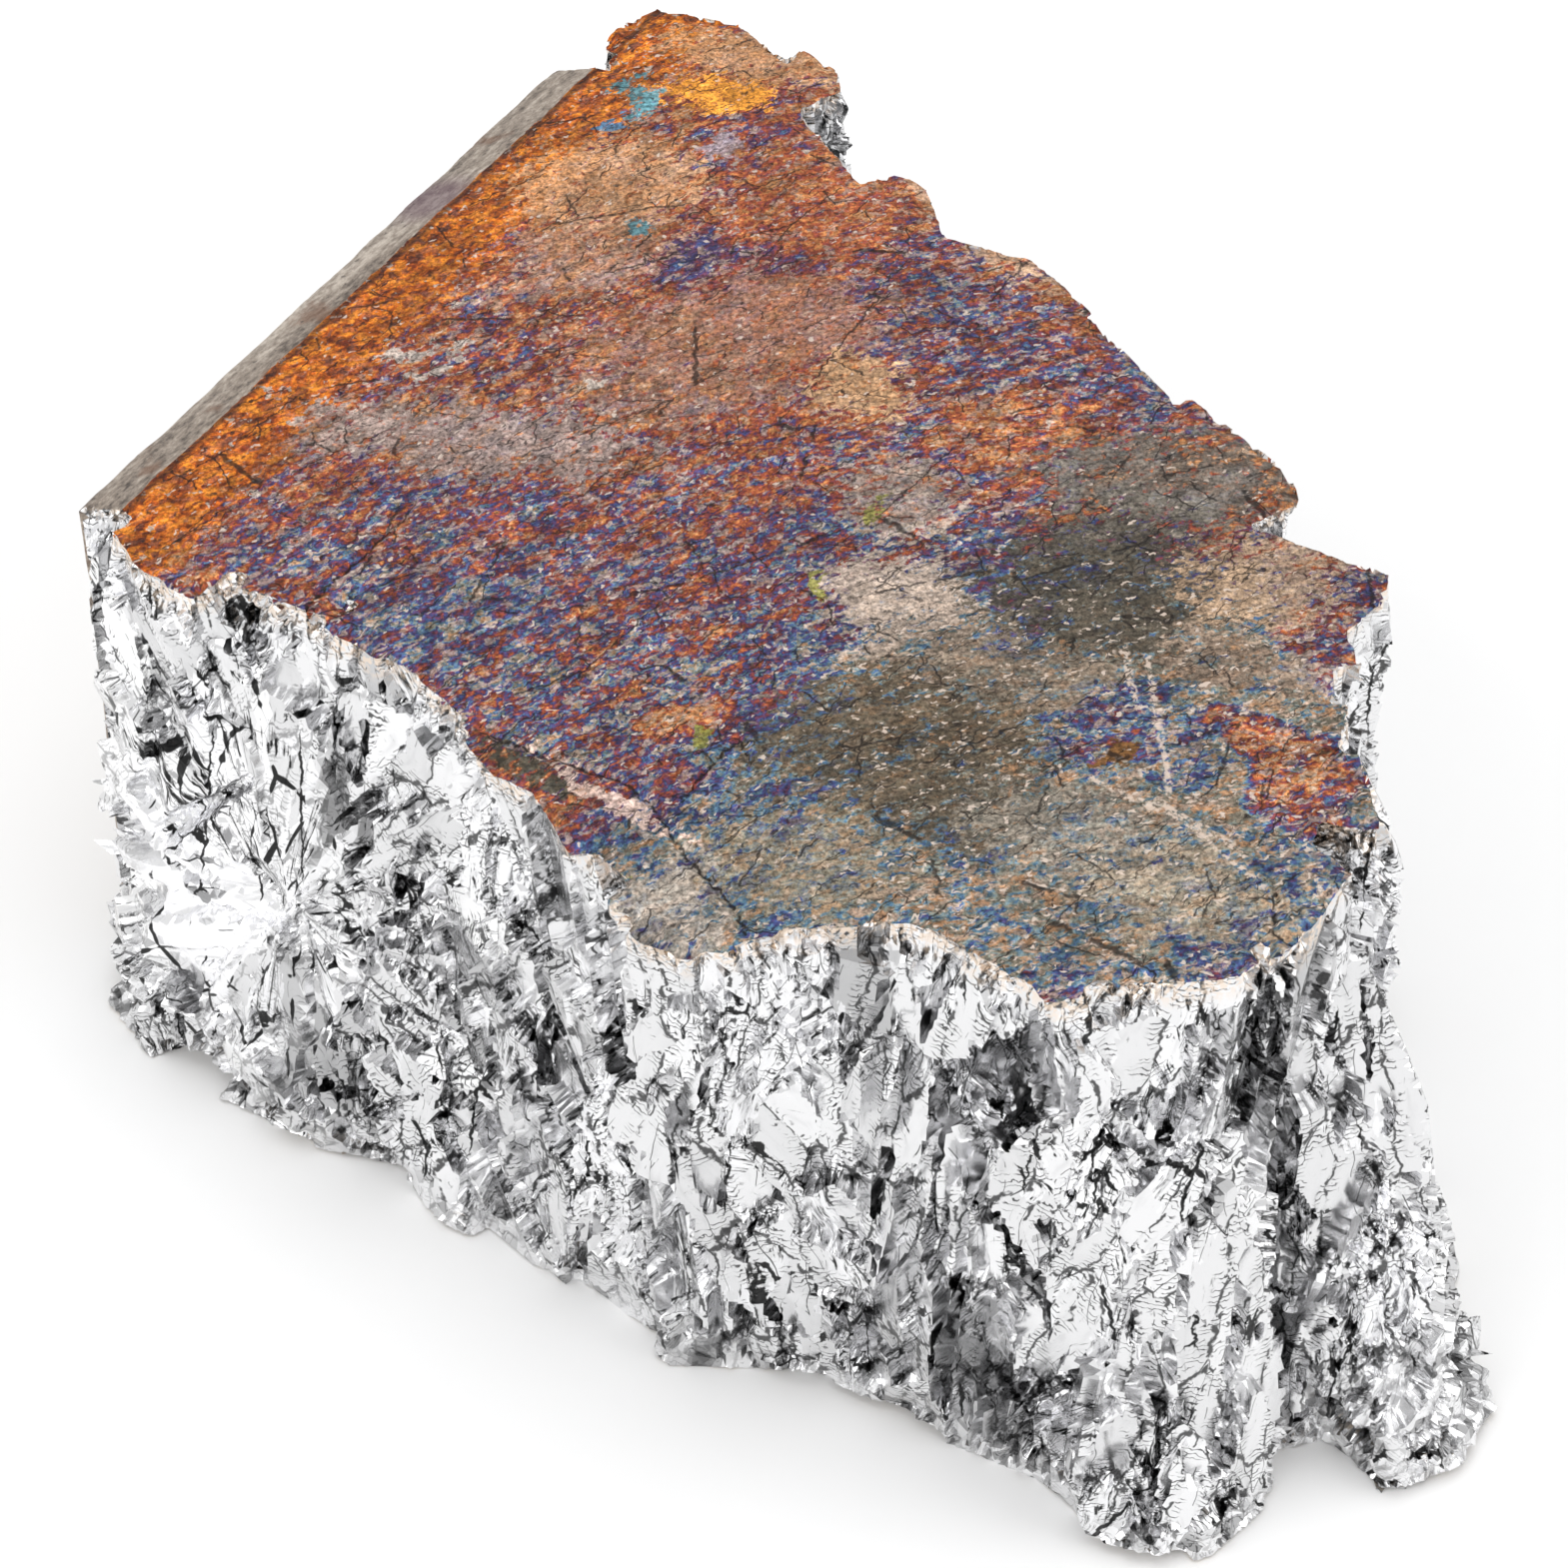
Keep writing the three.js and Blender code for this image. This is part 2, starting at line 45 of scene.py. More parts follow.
# The lump, in the frame's own axes
THICKNESS = 46.0
WALL_START = np.array([-13.35, 46.52])  # the bevel's inner line, from the back of the lump
WALL_END = np.array([-43.85, -5.78])  # to its left corner
BEVEL_WIDTH = 4.0
BEVEL_DROP = 1.6
WALL_DRAFT = 2.3
FAN_CENTRE = np.array([-32.9, -18.7, 21.0])  # blades of metal fan out from here, at the left front
FAN_RADIUS = 19.0
FAN_SIDEWAYS = (0.72, -0.69, 0.0)  # level, along the broken wall there
FAN_HALF_HEIGHT = 20.5
FAN_SKEW = 2.0  # the fan opens to the left more than to the right
FAN_RINGS = ((3.0, 7), (8.5, 18), (15.0, 24))  # each ring's radius and its number of grains
PIT_PLACE = np.array([-35.3, -14.2, 43.8])  # a small round hole under the rim
PIT_RADIUS = 1.5
PIT_DEPTH = 1.6
PIT_BLACK = (1.15, 0.95)  # how far from its middle the pit turns black
CREVICE_WIDTH = 0.6
CREVICE_DEPTH = 0.8
GRAIN_SPACING = 4.0
SMALL_GRAIN_SPACING = 1.5  # near the edges and at the beaded foot
TOP_RIM = 43.6  # above this height and below the next one the grains are small
BOTTOM_RIM = 2.6
BEADED_PLACE = np.array([44.5, -51.5, 3.0])  # small rounded grains, at the right front's foot
BEADED_RADIUS = 8.5

# Cracks in the cast face, as lines of places on it
CRACKS = [
    [(-17.6, -27.5), (-13.1, -29.8), (-9.2, -31.6), (-7.3, -33.4)],
    [(-7.3, -33.4), (-4.7, -38.6), (-1.9, -42.5), (-1.2, -44.7)],
    [(-5.4, -33.4), (-3.2, -29.8), (-1.7, -27.8), (-1.0, -29.8)],
    [(31.4, -40.8), (31.0, -44.5), (32.4, -45.8)],
    [(-25.4, -7.7), (-28.2, -11.8), (-30.8, -15.7)],
]
SCRATCHES = [
    [(23.4, -19.2), (23.9, -25.0)],
    [(24.9, -20.2), (25.5, -33.0)],
    [(11.7, -7.7), (14.5, -3.6)],
    [(20.6, -31.4), (26.5, -35.6), (30.6, -40.8)],
    [(24.6, -33.4), (29.6, -37.8)],
]
CRACK_WIDTH = 0.35
CRACK_DEPTH = 0.3
CHIP_WIDTH = 1.6  # of the chipped strip along the cast face's broken rim
CHIP_DEPTH = 0.55
FACE_RELIEF = 0.08
MOULD_RELIEF = 0.09

# The visual mesh
VOXEL = 0.34
TARGET_TRIANGLES = 185000
SMOOTHING_ROUNDS = 36  # spread of the smooth directions that the grains' faces are set against
SEEDS_TRIED = 9000
BATCH = 20000  # points looked at together, to keep the arrays small
SHARP_ANGLE = math.radians(28)

# Camera: the photograph's view. Distances are metres; the lens and sensor are millimetres.
CAMERA_TARGET = Vector((1.16, -8.99, 23.0)) * MM
CAMERA_DISTANCE = 0.28
CAMERA_ELEVATION = math.radians(45)
CAMERA_LENS = 90.0
CAMERA_SENSOR = 36.0

# Floor and lights: metres and watts
FLOOR_HALF = 2.5
FLOOR_COLOR = (0.92, 0.92, 0.92, 1)
STUDIO_COLOR = (0.78, 0.78, 0.78, 1)
SOFTBOXES = (  # name, place, size and power
    ("left_softbox", (-0.95, -0.75, 0.95), (1.1, 0.9), 6),
    ("top_softbox", (0.1, -0.1, 1.45), (1.0, 1.0), 6),
    ("right_softbox", (1.15, -0.35, 0.8), (0.9, 0.7), 4),
)

CELL_SCALE = 0.29  # of the fracture's plates and needle bundles: about 3.5 mm wide

FRACTURE, FACE, MOULD, UNDERSIDE = range(4)  # the surface's kinds, in material order

rng = np.random.default_rng(7)


def norms(vectors):
    """Each vector's length."""
    return np.linalg.norm(vectors, axis=1)


def unit(vectors):
    """The vectors at length one."""
    return vectors / np.maximum(np.linalg.norm(vectors, axis=-1, keepdims=True), 1e-9)


def smooth_step(low, high, values):
    """From 0 at low to 1 at high, smoothly."""
    share = np.clip((values - low) / (high - low), 0, 1)
    return share * share * (3 - 2 * share)


def lattice_values(cells, salt):
    """A fixed number from 0 to 1 for each whole-numbered place."""
    mixed = cells[..., 0] * 73856093 ^ cells[..., 1] * 19349663 ^ cells[..., 2] * 83492791
    mixed = mixed ^ (salt * 9176263 + 12345)
    mixed = ((mixed ^ (mixed >> 13)) & 0x7FFFFFFF) * 1274126177 & 0x7FFFFFFF
    mixed = ((mixed ^ (mixed >> 16)) & 0x7FFFFFFF) * 1103515245 & 0x7FFFFFFF
    return ((mixed ^ (mixed >> 15)) & 0xFFFFFF) / float(0x1000000)


def noise(points, scale, salt):
    """Smooth noise from -1 to 1, with features about scale millimetres across."""
    places = points / scale
    floor = np.floor(places).astype(np.int64)
    share = places - floor
    share = share * share * (3 - 2 * share)
    total = np.zeros(len(points))
    for corner in np.ndindex(2, 2, 2):
        weight = np.prod(np.where(corner, share, 1 - share), axis=1)
        total += weight * lattice_values(floor + np.array(corner), salt)
    return total * 2 - 1


def cell_values(points, salt):
    """Three fixed numbers from 0 to 1 for each point, shared by the points of one small cell."""
    floor = np.floor(points).astype(np.int64)
    best = np.full(len(points), np.inf)
    found = np.zeros_like(floor)
    for corner in np.ndindex(3, 3, 3):
        cell = floor + np.array(corner) - 1
        jitter = np.stack([lattice_values(cell, salt + k) for k in range(3)], axis=1)
        square = ((cell + jitter - points) ** 2).sum(axis=1)
        nearer = square < best
        best[nearer] = square[nearer]
        found[nearer] = cell[nearer]
    return np.stack([lattice_values(found, salt + 10 + k) for k in range(3)], axis=1)


def vertex_arrays(mesh):
    """The mesh's vertex places, normals and edges, in millimetres."""
    places = np.empty(len(mesh.vertices) * 3)
    mesh.vertices.foreach_get("co", places)
    normals = np.empty(len(mesh.vertices) * 3)
    mesh.vertex_normals.foreach_get("vector", normals)
    edges = np.empty(len(mesh.edges) * 2, dtype=np.int64)
    mesh.edges.foreach_get("vertices", edges)
    return places.reshape(-1, 3) / MM, normals.reshape(-1, 3), edges.reshape(-1, 2)


def averaged(values, edges, rounds):
    """Each vertex's vector averaged with its neighbours', over and over."""
    count = len(values)
    ends = np.concatenate([edges[:, 0], edges[:, 1]])
    others = np.concatenate([edges[:, 1], edges[:, 0]])
    valence = np.bincount(ends, minlength=count)[:, None]
    for _ in range(rounds):
        sums = [np.bincount(ends, weights=values[others, axis], minlength=count) for axis in range(3)]
        values = (values + np.stack(sums, axis=1)) / (1 + valence)
    return values


def wall_places(points):
    """How far along the cast edge each point is, and how far out from the bevel's inner line."""
    along = unit(WALL_END - WALL_START)
    outward = np.array([along[1], -along[0]])
    from_start = points[:, :2] - WALL_START
    return from_start @ along, from_start @ outward


def surface_kinds(points, normals):
    """Each point's kind of surface."""
    along, out = wall_places(points)
    height = points[:, 2]
    shoulder = THICKNESS - BEVEL_DROP
    expected = np.where(
        height > shoulder,
        BEVEL_WIDTH * (THICKNESS - height) / BEVEL_DROP,
        BEVEL_WIDTH + WALL_DRAFT * (shoulder - height) / shoulder,
    )
    length = np.linalg.norm(WALL_END - WALL_START)
    on_wall = (np.abs(out - expected) < 0.45) & (along > -0.3) & (along < length + 0.3)
    kinds = np.full(len(points), FRACTURE)
    kinds[on_wall] = MOULD
    kinds[(height < 4.6) & (normals[:, 2] < -0.6)] = UNDERSIDE
    kinds[(height > THICKNESS - 0.75) & (normals[:, 2] > 0.65) & ~(on_wall & (out > 0.1))] = FACE
    return kinds


def scattered(points, radii):
    """Indices of points chosen at random, none closer to another than its radius."""
    squeeze = np.array([1, 1, 0.27])  # the grains are long upwards
    chosen = []
    for i in rng.permutation(len(points))[:SEEDS_TRIED]:
        gaps = norms((points[chosen] - points[i]) * squeeze)
        if len(chosen) == 0 or gaps.min() > radii[i]:
            chosen.append(i)
    return np.array(chosen)


def fan_places(points, outward):
    """Indices of points in rings round the fan's centre."""
    middle = np.argmin(norms(points - FAN_CENTRE))
    sideways = unit(np.cross(outward[middle], UP))
    chosen = []
    for radius, count in FAN_RINGS:
        for angle in (np.arange(count) + rng.uniform(-0.3, 0.3, count)) * 2 * math.pi / count:
            reach = radius * rng.uniform(0.85, 1.15)
            place = points[middle] + reach * (math.cos(angle) * sideways + math.sin(angle) * UP)
            chosen.append(np.argmin(norms(points - place)))
    return np.unique(chosen)


def in_fan(points):
    """Whether each point is in the fan of blades."""
    near = norms(points - FAN_CENTRE) < FAN_RADIUS
    return near & (np.abs(points[:, 2] - THICKNESS / 2) < FAN_HALF_HEIGHT)


def fan_polar(points):
    """Each point's distance and angle from the fan's centre, and its distance on the skewed outline."""
    from_fan = points - FAN_CENTRE
    level = from_fan @ np.array(FAN_SIDEWAYS)
    reach = np.hypot(level, from_fan[:, 2])
    return reach, np.arctan2(from_fan[:, 2], level), reach + FAN_SKEW * np.maximum(level, 0)


def blade_offsets(points):
    """How far out each point in the fan moves to lie on its own long blade."""
    reach, angle, _ = fan_polar(points)
    turned = (angle + 0.12 * noise(points, 3.0, 31)) * 3.6
    blades = cell_values(np.stack([turned, reach / 14.0, np.zeros(len(points))], axis=1), 80)
    ridge = np.abs(turned * 2 % 1.0 - 0.5)
    return 0.9 * (blades[:, 0] - 0.6) + 0.5 * (blades[:, 1] - 0.5) * ridge * np.minimum(reach / 5.0, 2.0)


def in_beads(points):
    """Whether each point is at the foot with the small rounded grains."""
    return norms(points - BEADED_PLACE) < BEADED_RADIUS


def at_rims(points):
    """Whether each point is near the lump's top or bottom edge."""
    return (points[:, 2] > TOP_RIM) | (points[:, 2] < BOTTOM_RIM)


def grain_radii(points):
    """How far apart the grains' middles are near each point."""
    radii = GRAIN_SPACING * (1 + 0.4 * noise(points, 13.0, 3))
    return np.where(at_rims(points) | in_beads(points), SMALL_GRAIN_SPACING, radii)


def grain_axes(seeds, out, fan):
    """Each grain's long axis in the surface: nearly upright, or away from the fan's centre."""
    sideways = unit(np.cross(out, UP))
    lean = rng.normal(0, 0.16, (len(seeds), 1)) + 0.25 * noise(seeds, 25.0, 8)[:, None]
    axes = np.where(fan[:, None], seeds - FAN_CENTRE, UP + sideways * lean)
    return unit(axes - out * (axes * out).sum(axis=1, keepdims=True))


def make_grains(points, outward):
    """Grains scattered over the fracture: their middles, long axes, cleavage planes and ledges."""
    middles = scattered(points, grain_radii(points))
    middles = middles[~in_fan(points[middles])]
    middles = np.concatenate([middles, fan_places(points, outward)])
    seeds, out = points[middles], outward[middles]
    count = len(seeds)
    fan = in_fan(seeds)
    beaded = in_beads(seeds)
    rim = at_rims(seeds)
    axes = grain_axes(seeds, out, fan)

    # How far each cleavage plane turns about the axis, and tips along it
    kind = rng.random(count)
    hackly = ~fan & ((kind > 0.9) | (rim & (kind > 0.8)) | (beaded & (kind > 0.5)))
    slanted = ~hackly & ~fan & (kind > 0.66)
    turn = rng.normal(0, 0.12, count)
    turn = np.where(slanted, rng.choice([-1, 1], count) * rng.uniform(0.25, 0.5, count), turn)
    turn = np.where(hackly, rng.choice([-1, 1], count) * rng.uniform(0.2, 0.6, count), turn)
    tip = rng.normal(0, 0.08, count)
    turn = np.where(fan, rng.normal(0, 0.14, count), turn)
    tip = np.where(hackly, rng.normal(0.1, 0.2, count), tip)
    across = np.cross(axes, out)
    normals = unit(out + across * np.tan(turn)[:, None] + axes * np.tan(tip)[:, None])

    # The ledges' height, the grains' stretch along the axis, and how pale each is
    ledge = rng.uniform(1.0, 1.8, count)
    ledge = np.where(hackly, rng.uniform(0.5, 0.9, count), ledge)
    stretch = rng.uniform(2.8, 4.8, count)
    stretch = np.where(fan, rng.uniform(3.5, 5.5, count), stretch)
    stretch = np.where(rim | beaded, rng.uniform(1.0, 1.6, count), stretch)
    tone = rng.uniform(0.74, 0.87, count)
    rare = rng.random(count)
    tone = np.where(rare < 0.07, rng.uniform(0.46, 0.58, count), tone)
    # Some grains are painted near white as a highlight, most of them in the fan left of its centre
    to_left = fan & ((FAN_CENTRE - seeds) @ np.array(FAN_SIDEWAYS) > 2.0)
    tone = np.where(rare > np.where(to_left, 0.4, 0.92), 0.97, tone)
    return {
        "seed": seeds,
        "axis": axes,
        "across": across,
        "normal": normals,
        "ledge": ledge,
        "stretch": stretch,
        "reach": np.where(hackly | rim | fan, 0.0, rng.uniform(2.0, 6.0, count)),
        "hackly": hackly.astype(float),
        "tone": tone,
    }


def nearest_grain(points, grains):
    """The index of each point's grain, and how near the point is to its border, from 0 to 1."""
    warped = points + 0.45 * np.stack([noise(points, 1.9, salt) for salt in (21, 22, 23)], axis=1)
    seeds, axes = grains["seed"], grains["axis"]
    pull = 1 - 1 / grains["stretch"] ** 2
    offset = (seeds * axes).sum(axis=1)
    found = np.empty(len(points), dtype=np.int64)
    border = np.empty(len(points))
    for start in range(0, len(points), BATCH):
        part = slice(start, start + BATCH)
        some = warped[part]
        square = (some**2).sum(axis=1)[:, None] + (seeds**2).sum(axis=1) - 2 * some @ seeds.T
        along = some @ axes.T - offset
        square = square - pull * along**2 - grains["reach"]
        nearest = np.argmin(square, axis=1)
        rows = np.arange(len(some))
        own = square[rows, nearest]
        square[rows, nearest] = np.inf
        gap = (square.min(axis=1) - own) / 5.0
        found[part] = nearest
        border[part] = smooth_step(CREVICE_WIDTH, 0.05, gap)
    open_here = smooth_step(0.05, 0.5, noise(points * [1, 1, 0.4], 4.0, 24))
    return found, border * open_here


def cleavage_offsets(points, outward, grains, owner):
    """How far out each point moves to lie on its grain's stack of flat cleavage ledges."""
    normal = grains["normal"][owner]
    axis = grains["axis"][owner]
    across = np.cross(axis, outward)
    hackly = grains["hackly"][owner]
    local = points - grains["seed"][owner]
    along, beside, deep = ((local * way).sum(axis=1) for way in (axis, across, outward))
    small = np.stack([along / 4.5, beside, deep * 0.4], axis=1)
    shards = cell_values(small + owner[:, None] * 7.0, 40) - 0.5
    plates = cell_values(small / 1.9 + owner[:, None] * 5.0, 60) - 0.5
    bent = unit(normal + hackly[:, None] * (0.4 * shards[:, :1] * across + 0.3 * shards[:, 1:2] * axis))
    ledge = grains["ledge"][owner]
    reach = (points * bent).sum(axis=1)
    level = np.round(reach / ledge + 0.5 * plates[:, 0]) * ledge
    level = level + 0.2 * plates[:, 1] + 0.2 * hackly * shards[:, 2]
    slope = np.maximum((outward * bent).sum(axis=1), 0.35)
    from_rim = np.minimum(points[:, 2], THICKNESS - points[:, 2])
    most = 0.3 + 0.7 * smooth_step(0.5, 6.0, from_rim)
    return np.clip((level - reach) / slope, -most, most) - 0.2


def crack_depths(points):
    """How deep the cracks cut the cast face at each point, from 0 to 1."""
    flat = points[:, :2] + 0.35 * np.stack([noise(points, 1.3, 51), noise(points, 1.3, 52)], axis=1)
    depth = np.zeros(len(points))
    for line in CRACKS:
        for start, end in zip(line, line[1:]):
            start, end = np.array(start), np.array(end)
            step = end - start
            share = np.clip(((flat - start) @ step) / (step @ step), 0, 1)
            gap = norms(flat - start - share[:, None] * step)
            depth = np.maximum(depth, 1 - np.clip(gap / CRACK_WIDTH, 0, 1))
    return depth


def rim_distances(points, rim_points):
    """How far each point is from the broken rim, on the level."""
    tree = KDTree(len(rim_points))
    for i, place in enumerate(rim_points):
        tree.insert((place[0], place[1], 0), i)
    tree.balance()
    return np.array([tree.find((x, y, 0))[2] for x, y in points[:, :2]])


def fracture_offsets(points, outward, grains):
    """How far out each broken point moves: ledges, blades, crevices and the pit."""
    owner, crevice = nearest_grain(points, grains)
    offset = cleavage_offsets(points, outward, grains, owner) - CREVICE_DEPTH * crevice
    near_fan = norms(points - FAN_CENTRE) < 2 * FAN_RADIUS
    ragged = fan_polar(points)[2] + 3.0 * noise(points, 5.0, 32)
    offset = np.where(near_fan & (ragged < FAN_RADIUS - 1.5), blade_offsets(points), offset)
    height = points[:, 2]
    hold = smooth_step(0, 0.5, THICKNESS - height) * smooth_step(0, 0.6, height)
    from_pit = norms(points - PIT_PLACE)
    return offset * hold - PIT_DEPTH * smooth_step(PIT_RADIUS, PIT_RADIUS * 0.6, from_pit)


def face_lifts(points, rim_points):
    """How far up each point of the cast face moves: slight relief, the chipped rim and the cracks."""
    gap = rim_distances(points, rim_points)
    chip = smooth_step(CHIP_WIDTH, 0.1, gap) * np.clip(0.35 + 0.9 * noise(points, 1.5, 61), 0, 1)
    relief = FACE_RELIEF * noise(points, 9.0, 62) - FACE_RELIEF
    return relief * smooth_step(0, 1.5, gap) - CHIP_DEPTH * chip - CRACK_DEPTH * crack_depths(points)


def shaped(points, normals, edges, grains_found):
    """The vertices moved to make the fine surface."""
    kinds = surface_kinds(points, normals)
    level = averaged(normals, edges, SMOOTHING_ROUNDS)
    level[:, 2] *= 0.35
    outward = unit(level)
    moved = points.copy()

    broken = kinds == FRACTURE
    grains = make_grains(points[broken], outward[broken])
    grains_found.update(grains)
    offset = fracture_offsets(points[broken], outward[broken], grains)
    moved[broken] += outward[broken] * offset[:, None]
    face = kinds == FACE
    rim_points = points[broken & (points[:, 2] > THICKNESS - 0.9)]
    moved[face, 2] += face_lifts(points[face], rim_points)
    mould = kinds == MOULD
    moved[mould] += normals[mould] * (MOULD_RELIEF * noise(points[mould], 2.2, 71) - 0.08)[:, None]
    under = kinds == UNDERSIDE
    bumps = ((0.3, 3.0, 72), (0.15, 0.9, 73))  # depth, width and salt
    rough = (depth * np.clip(noise(points[under], width, salt), 0, 1) for depth, width, salt in bumps)
    moved[under, 2] += sum(rough)
    return moved


def with_modifier(mesh, kind, **settings):
    """A new mesh: this one with a modifier applied."""
    holder = bpy.data.objects.new("holder", mesh)
    bpy.context.scene.collection.objects.link(holder)
    modifier = holder.modifiers.new("step", kind)
    for name, value in settings.items():
        setattr(modifier, name, value)
    graph = bpy.context.evaluated_depsgraph_get()
    made = bpy.data.meshes.new_from_object(holder.evaluated_get(graph))
    bpy.data.objects.remove(holder)
    return made


def triangle_count(mesh):
    """How many triangles the mesh's faces make."""
    return sum(len(polygon.vertices) - 2 for polygon in mesh.polygons)


def face_arrays(mesh):
    """The mesh's face middles and normals, in millimetres."""
    middles = np.empty(len(mesh.polygons) * 3)
    mesh.polygons.foreach_get("center", middles)
    normals = np.empty(len(mesh.polygons) * 3)
    mesh.polygons.foreach_get("normal", normals)
    return middles.reshape(-1, 3) / MM, normals.reshape(-1, 3)


def build_surface(node, grains):
    """The lump's fine mesh, made from the solid's."""
    mesh = node.data.copy()
    mesh.materials.clear()
    mesh = with_modifier(mesh, "REMESH", mode="VOXEL", voxel_size=VOXEL * MM)
    points, normals, edges = vertex_arrays(mesh)
    moved = shaped(points, normals, edges, grains)
    mesh.vertices.foreach_set("co", (moved * MM).ravel())
    mesh.update()
    ratio = TARGET_TRIANGLES / triangle_count(mesh)
    return with_modifier(mesh, "DECIMATE", ratio=ratio, use_collapse_triangulate=True)


def set_attribute(mesh, name, values):
    """A vector for every face, for the materials to read."""
    attribute = mesh.attributes.new(name, "FLOAT_VECTOR", "FACE")
    attribute.data.foreach_set("vector", np.ascontiguousarray(values, dtype=np.float32).ravel())


def paint_kinds(mesh, materials, grains):
    """Each face gets its kind's material, and the broken ones their grain's directions."""
    middles, normals = face_arrays(mesh)
    kinds = surface_kinds(middles, normals)
    for material in materials:
        mesh.materials.append(material)
    mesh.polygons.foreach_set("material_index", kinds.astype(np.int32))
    smooth = (kinds == FACE) | (kinds == MOULD)
    mesh.polygons.foreach_set("use_smooth", smooth)
    mesh.set_sharp_from_angle(angle=SHARP_ANGLE)

    broken = kinds == FRACTURE
    owner, crevice = nearest_grain(middles[broken], grains)
    found = {"grain_" + name: grains[name][owner] for name in ("seed", "axis", "across")}
    found["grain_kind"] = np.stack([grains["hackly"][owner], grains["tone"][owner], crevice], axis=1)
    for name, values in found.items():
        field = np.zeros((len(middles), 3))
        field[broken] = values
        set_attribute(mesh, name, field)
    mesh.update()


def linear(red, green, blue):
    """An sRGB colour, 0 to 255, as Blender's linear one."""
    shares = [value / 255 for value in (red, green, blue)]
    return (*[s / 12.92 if s <= 0.04045 else ((s + 0.055) / 1.055) ** 2.4 for s in shares], 1.0)


HALVES = (0.5, 0.5, 0.5)  # the middle of a noise's or a cell's three values


class Graph:
    """A material's node tree, with short ways to add the nodes used here."""

    def __init__(self, name):
        self.material = bpy.data.materials.new(name)
        self.material.use_nodes = True
        self.tree = self.material.node_tree
        self.shader = self.tree.nodes["Principled BSDF"]
        coordinates = self.tree.nodes.new("ShaderNodeTexCoord").outputs["Object"]
        self.place = self.vector("SCALE", coordinates, Scale=1 / MM)

    def node(self, kind, inputs, **settings):
        made = self.tree.nodes.new(kind)
        for name, value in settings.items():
            setattr(made, name, value)
        for place, value in inputs.items():
            if isinstance(value, bpy.types.NodeSocket):
                self.tree.links.new(value, made.inputs[place])
            else:
                made.inputs[place].default_value = value
        return made

    def math(self, operation, *values, clamp=False):
        made = self.node("ShaderNodeMath", dict(enumerate(values)), operation=operation, use_clamp=clamp)
        return made.outputs[0]

    def plus(self, first, second, clamp=False):
        return self.math("ADD", first, second, clamp=clamp)

    def minus(self, first, second):
        return self.math("SUBTRACT", first, second)

    def times(self, first, second):
        return self.math("MULTIPLY", first, second)

    def most(self, first, second):
        return self.math("MAXIMUM", first, second)

    def vector(self, operation, *values, **named):
        inputs = {**dict(enumerate(values)), **named}
        made = self.node("ShaderNodeVectorMath", inputs, operation=operation)
        return made.outputs["Value" if operation in ("DOT_PRODUCT", "LENGTH", "DISTANCE") else "Vector"]

    def dot(self, first, second):
        return self.vector("DOT_PRODUCT", first, second)

    def offset(self, place, start):
        return self.vector("SUBTRACT", place, start)

    def length(self, vector):
        return self.vector("LENGTH", vector)

    def shifted(self, place, way, share):
        """The place moved a share of the way."""
        return self.vector("ADD", place, self.vector("SCALE", way, Scale=share))

    def attribute(self, name):
        return self.node("ShaderNodeAttribute", {}, attribute_name=name).outputs["Vector"]

    def parts(self, vector):
        return self.node("ShaderNodeSeparateXYZ", {0: vector}).outputs

    def joined(self, x, y, z):
        return self.node("ShaderNodeCombineXYZ", {0: x, 1: y, 2: z}).outputs[0]

    def noise(self, vector, scale, detail=2.0, roughness=0.5, output="Fac"):
        inputs = {"Vector": vector, "Scale": scale, "Detail": detail, "Roughness": roughness}
        return self.node("ShaderNodeTexNoise", inputs).outputs[output]

    def drift(self, vector, scale, reach, detail, roughness=0.5):
        """The place moved about by noise, by up to about half of reach each way."""
        colors = self.noise(vector, scale, detail=detail, roughness=roughness, output="Color")
        return self.shifted(vector, self.offset(colors, HALVES), reach)

    def voronoi(self, vector, scale, feature, dimensions):
        inputs = {"Vector": vector, "Scale": scale}
        settings = {"feature": feature, "voronoi_dimensions": dimensions}
        return self.node("ShaderNodeTexVoronoi", inputs, **settings).outputs

    def cells(self, vector, scale, dimensions="2D"):
        return self.voronoi(vector, scale, "F1", dimensions)["Color"]

    def edge_distance(self, vector, scale, dimensions="2D"):
        """How far a place is from the border of its Voronoi cell."""
        return self.voronoi(vector, scale, "DISTANCE_TO_EDGE", dimensions)["Distance"]

    def edge_line(self, vector, scale, width):
        """One on the borders between flat Voronoi cells, zero inside them."""
        return self.ease(self.edge_distance(vector, scale), width, width * 0.4)

    def ease(self, value, low, high, start=0.0, end=1.0):
        """From start at low to end at high, smoothly."""
        inputs = {"Value": value, "From Min": low, "From Max": high, "To Min": start, "To Max": end}
        return self.node("ShaderNodeMapRange", inputs, interpolation_type="SMOOTHSTEP").outputs[0]

    def swing(self, noise, low, high):
        """A noise, which mostly lies between 0.3 and 0.7, made to run from low to high."""
        return self.ease(noise, 0.3, 0.7, low, high)

    def mix(self, share, first, second, blend="MIX"):
        inputs = {0: share, 6: first, 7: second}
        return self.node("ShaderNodeMix", inputs, data_type="RGBA", blend_type=blend).outputs[2]

    def blend(self, share, first, second):
        return self.node("ShaderNodeMix", {0: share, 2: first, 3: second}, data_type="FLOAT").outputs[0]

    def blend_vector(self, share, first, second):
        inputs = {0: share, 4: first, 5: second}
        return self.node("ShaderNodeMix", inputs, data_type="VECTOR").outputs[1]

    def ramp(self, value, stops):
        made = self.node("ShaderNodeValToRGB", {0: value})
        elements = made.color_ramp.elements
        for _ in stops[2:]:
            elements.new(0.5)
        for element, (position, color) in zip(elements, stops):
            element.position = position
            element.color = color
        return made.outputs[0]

    def bump(self, height, strength, distance):
        inputs = {"Height": height, "Strength": strength, "Distance": distance * MM}
        return self.node("ShaderNodeBump", inputs).outputs[0]

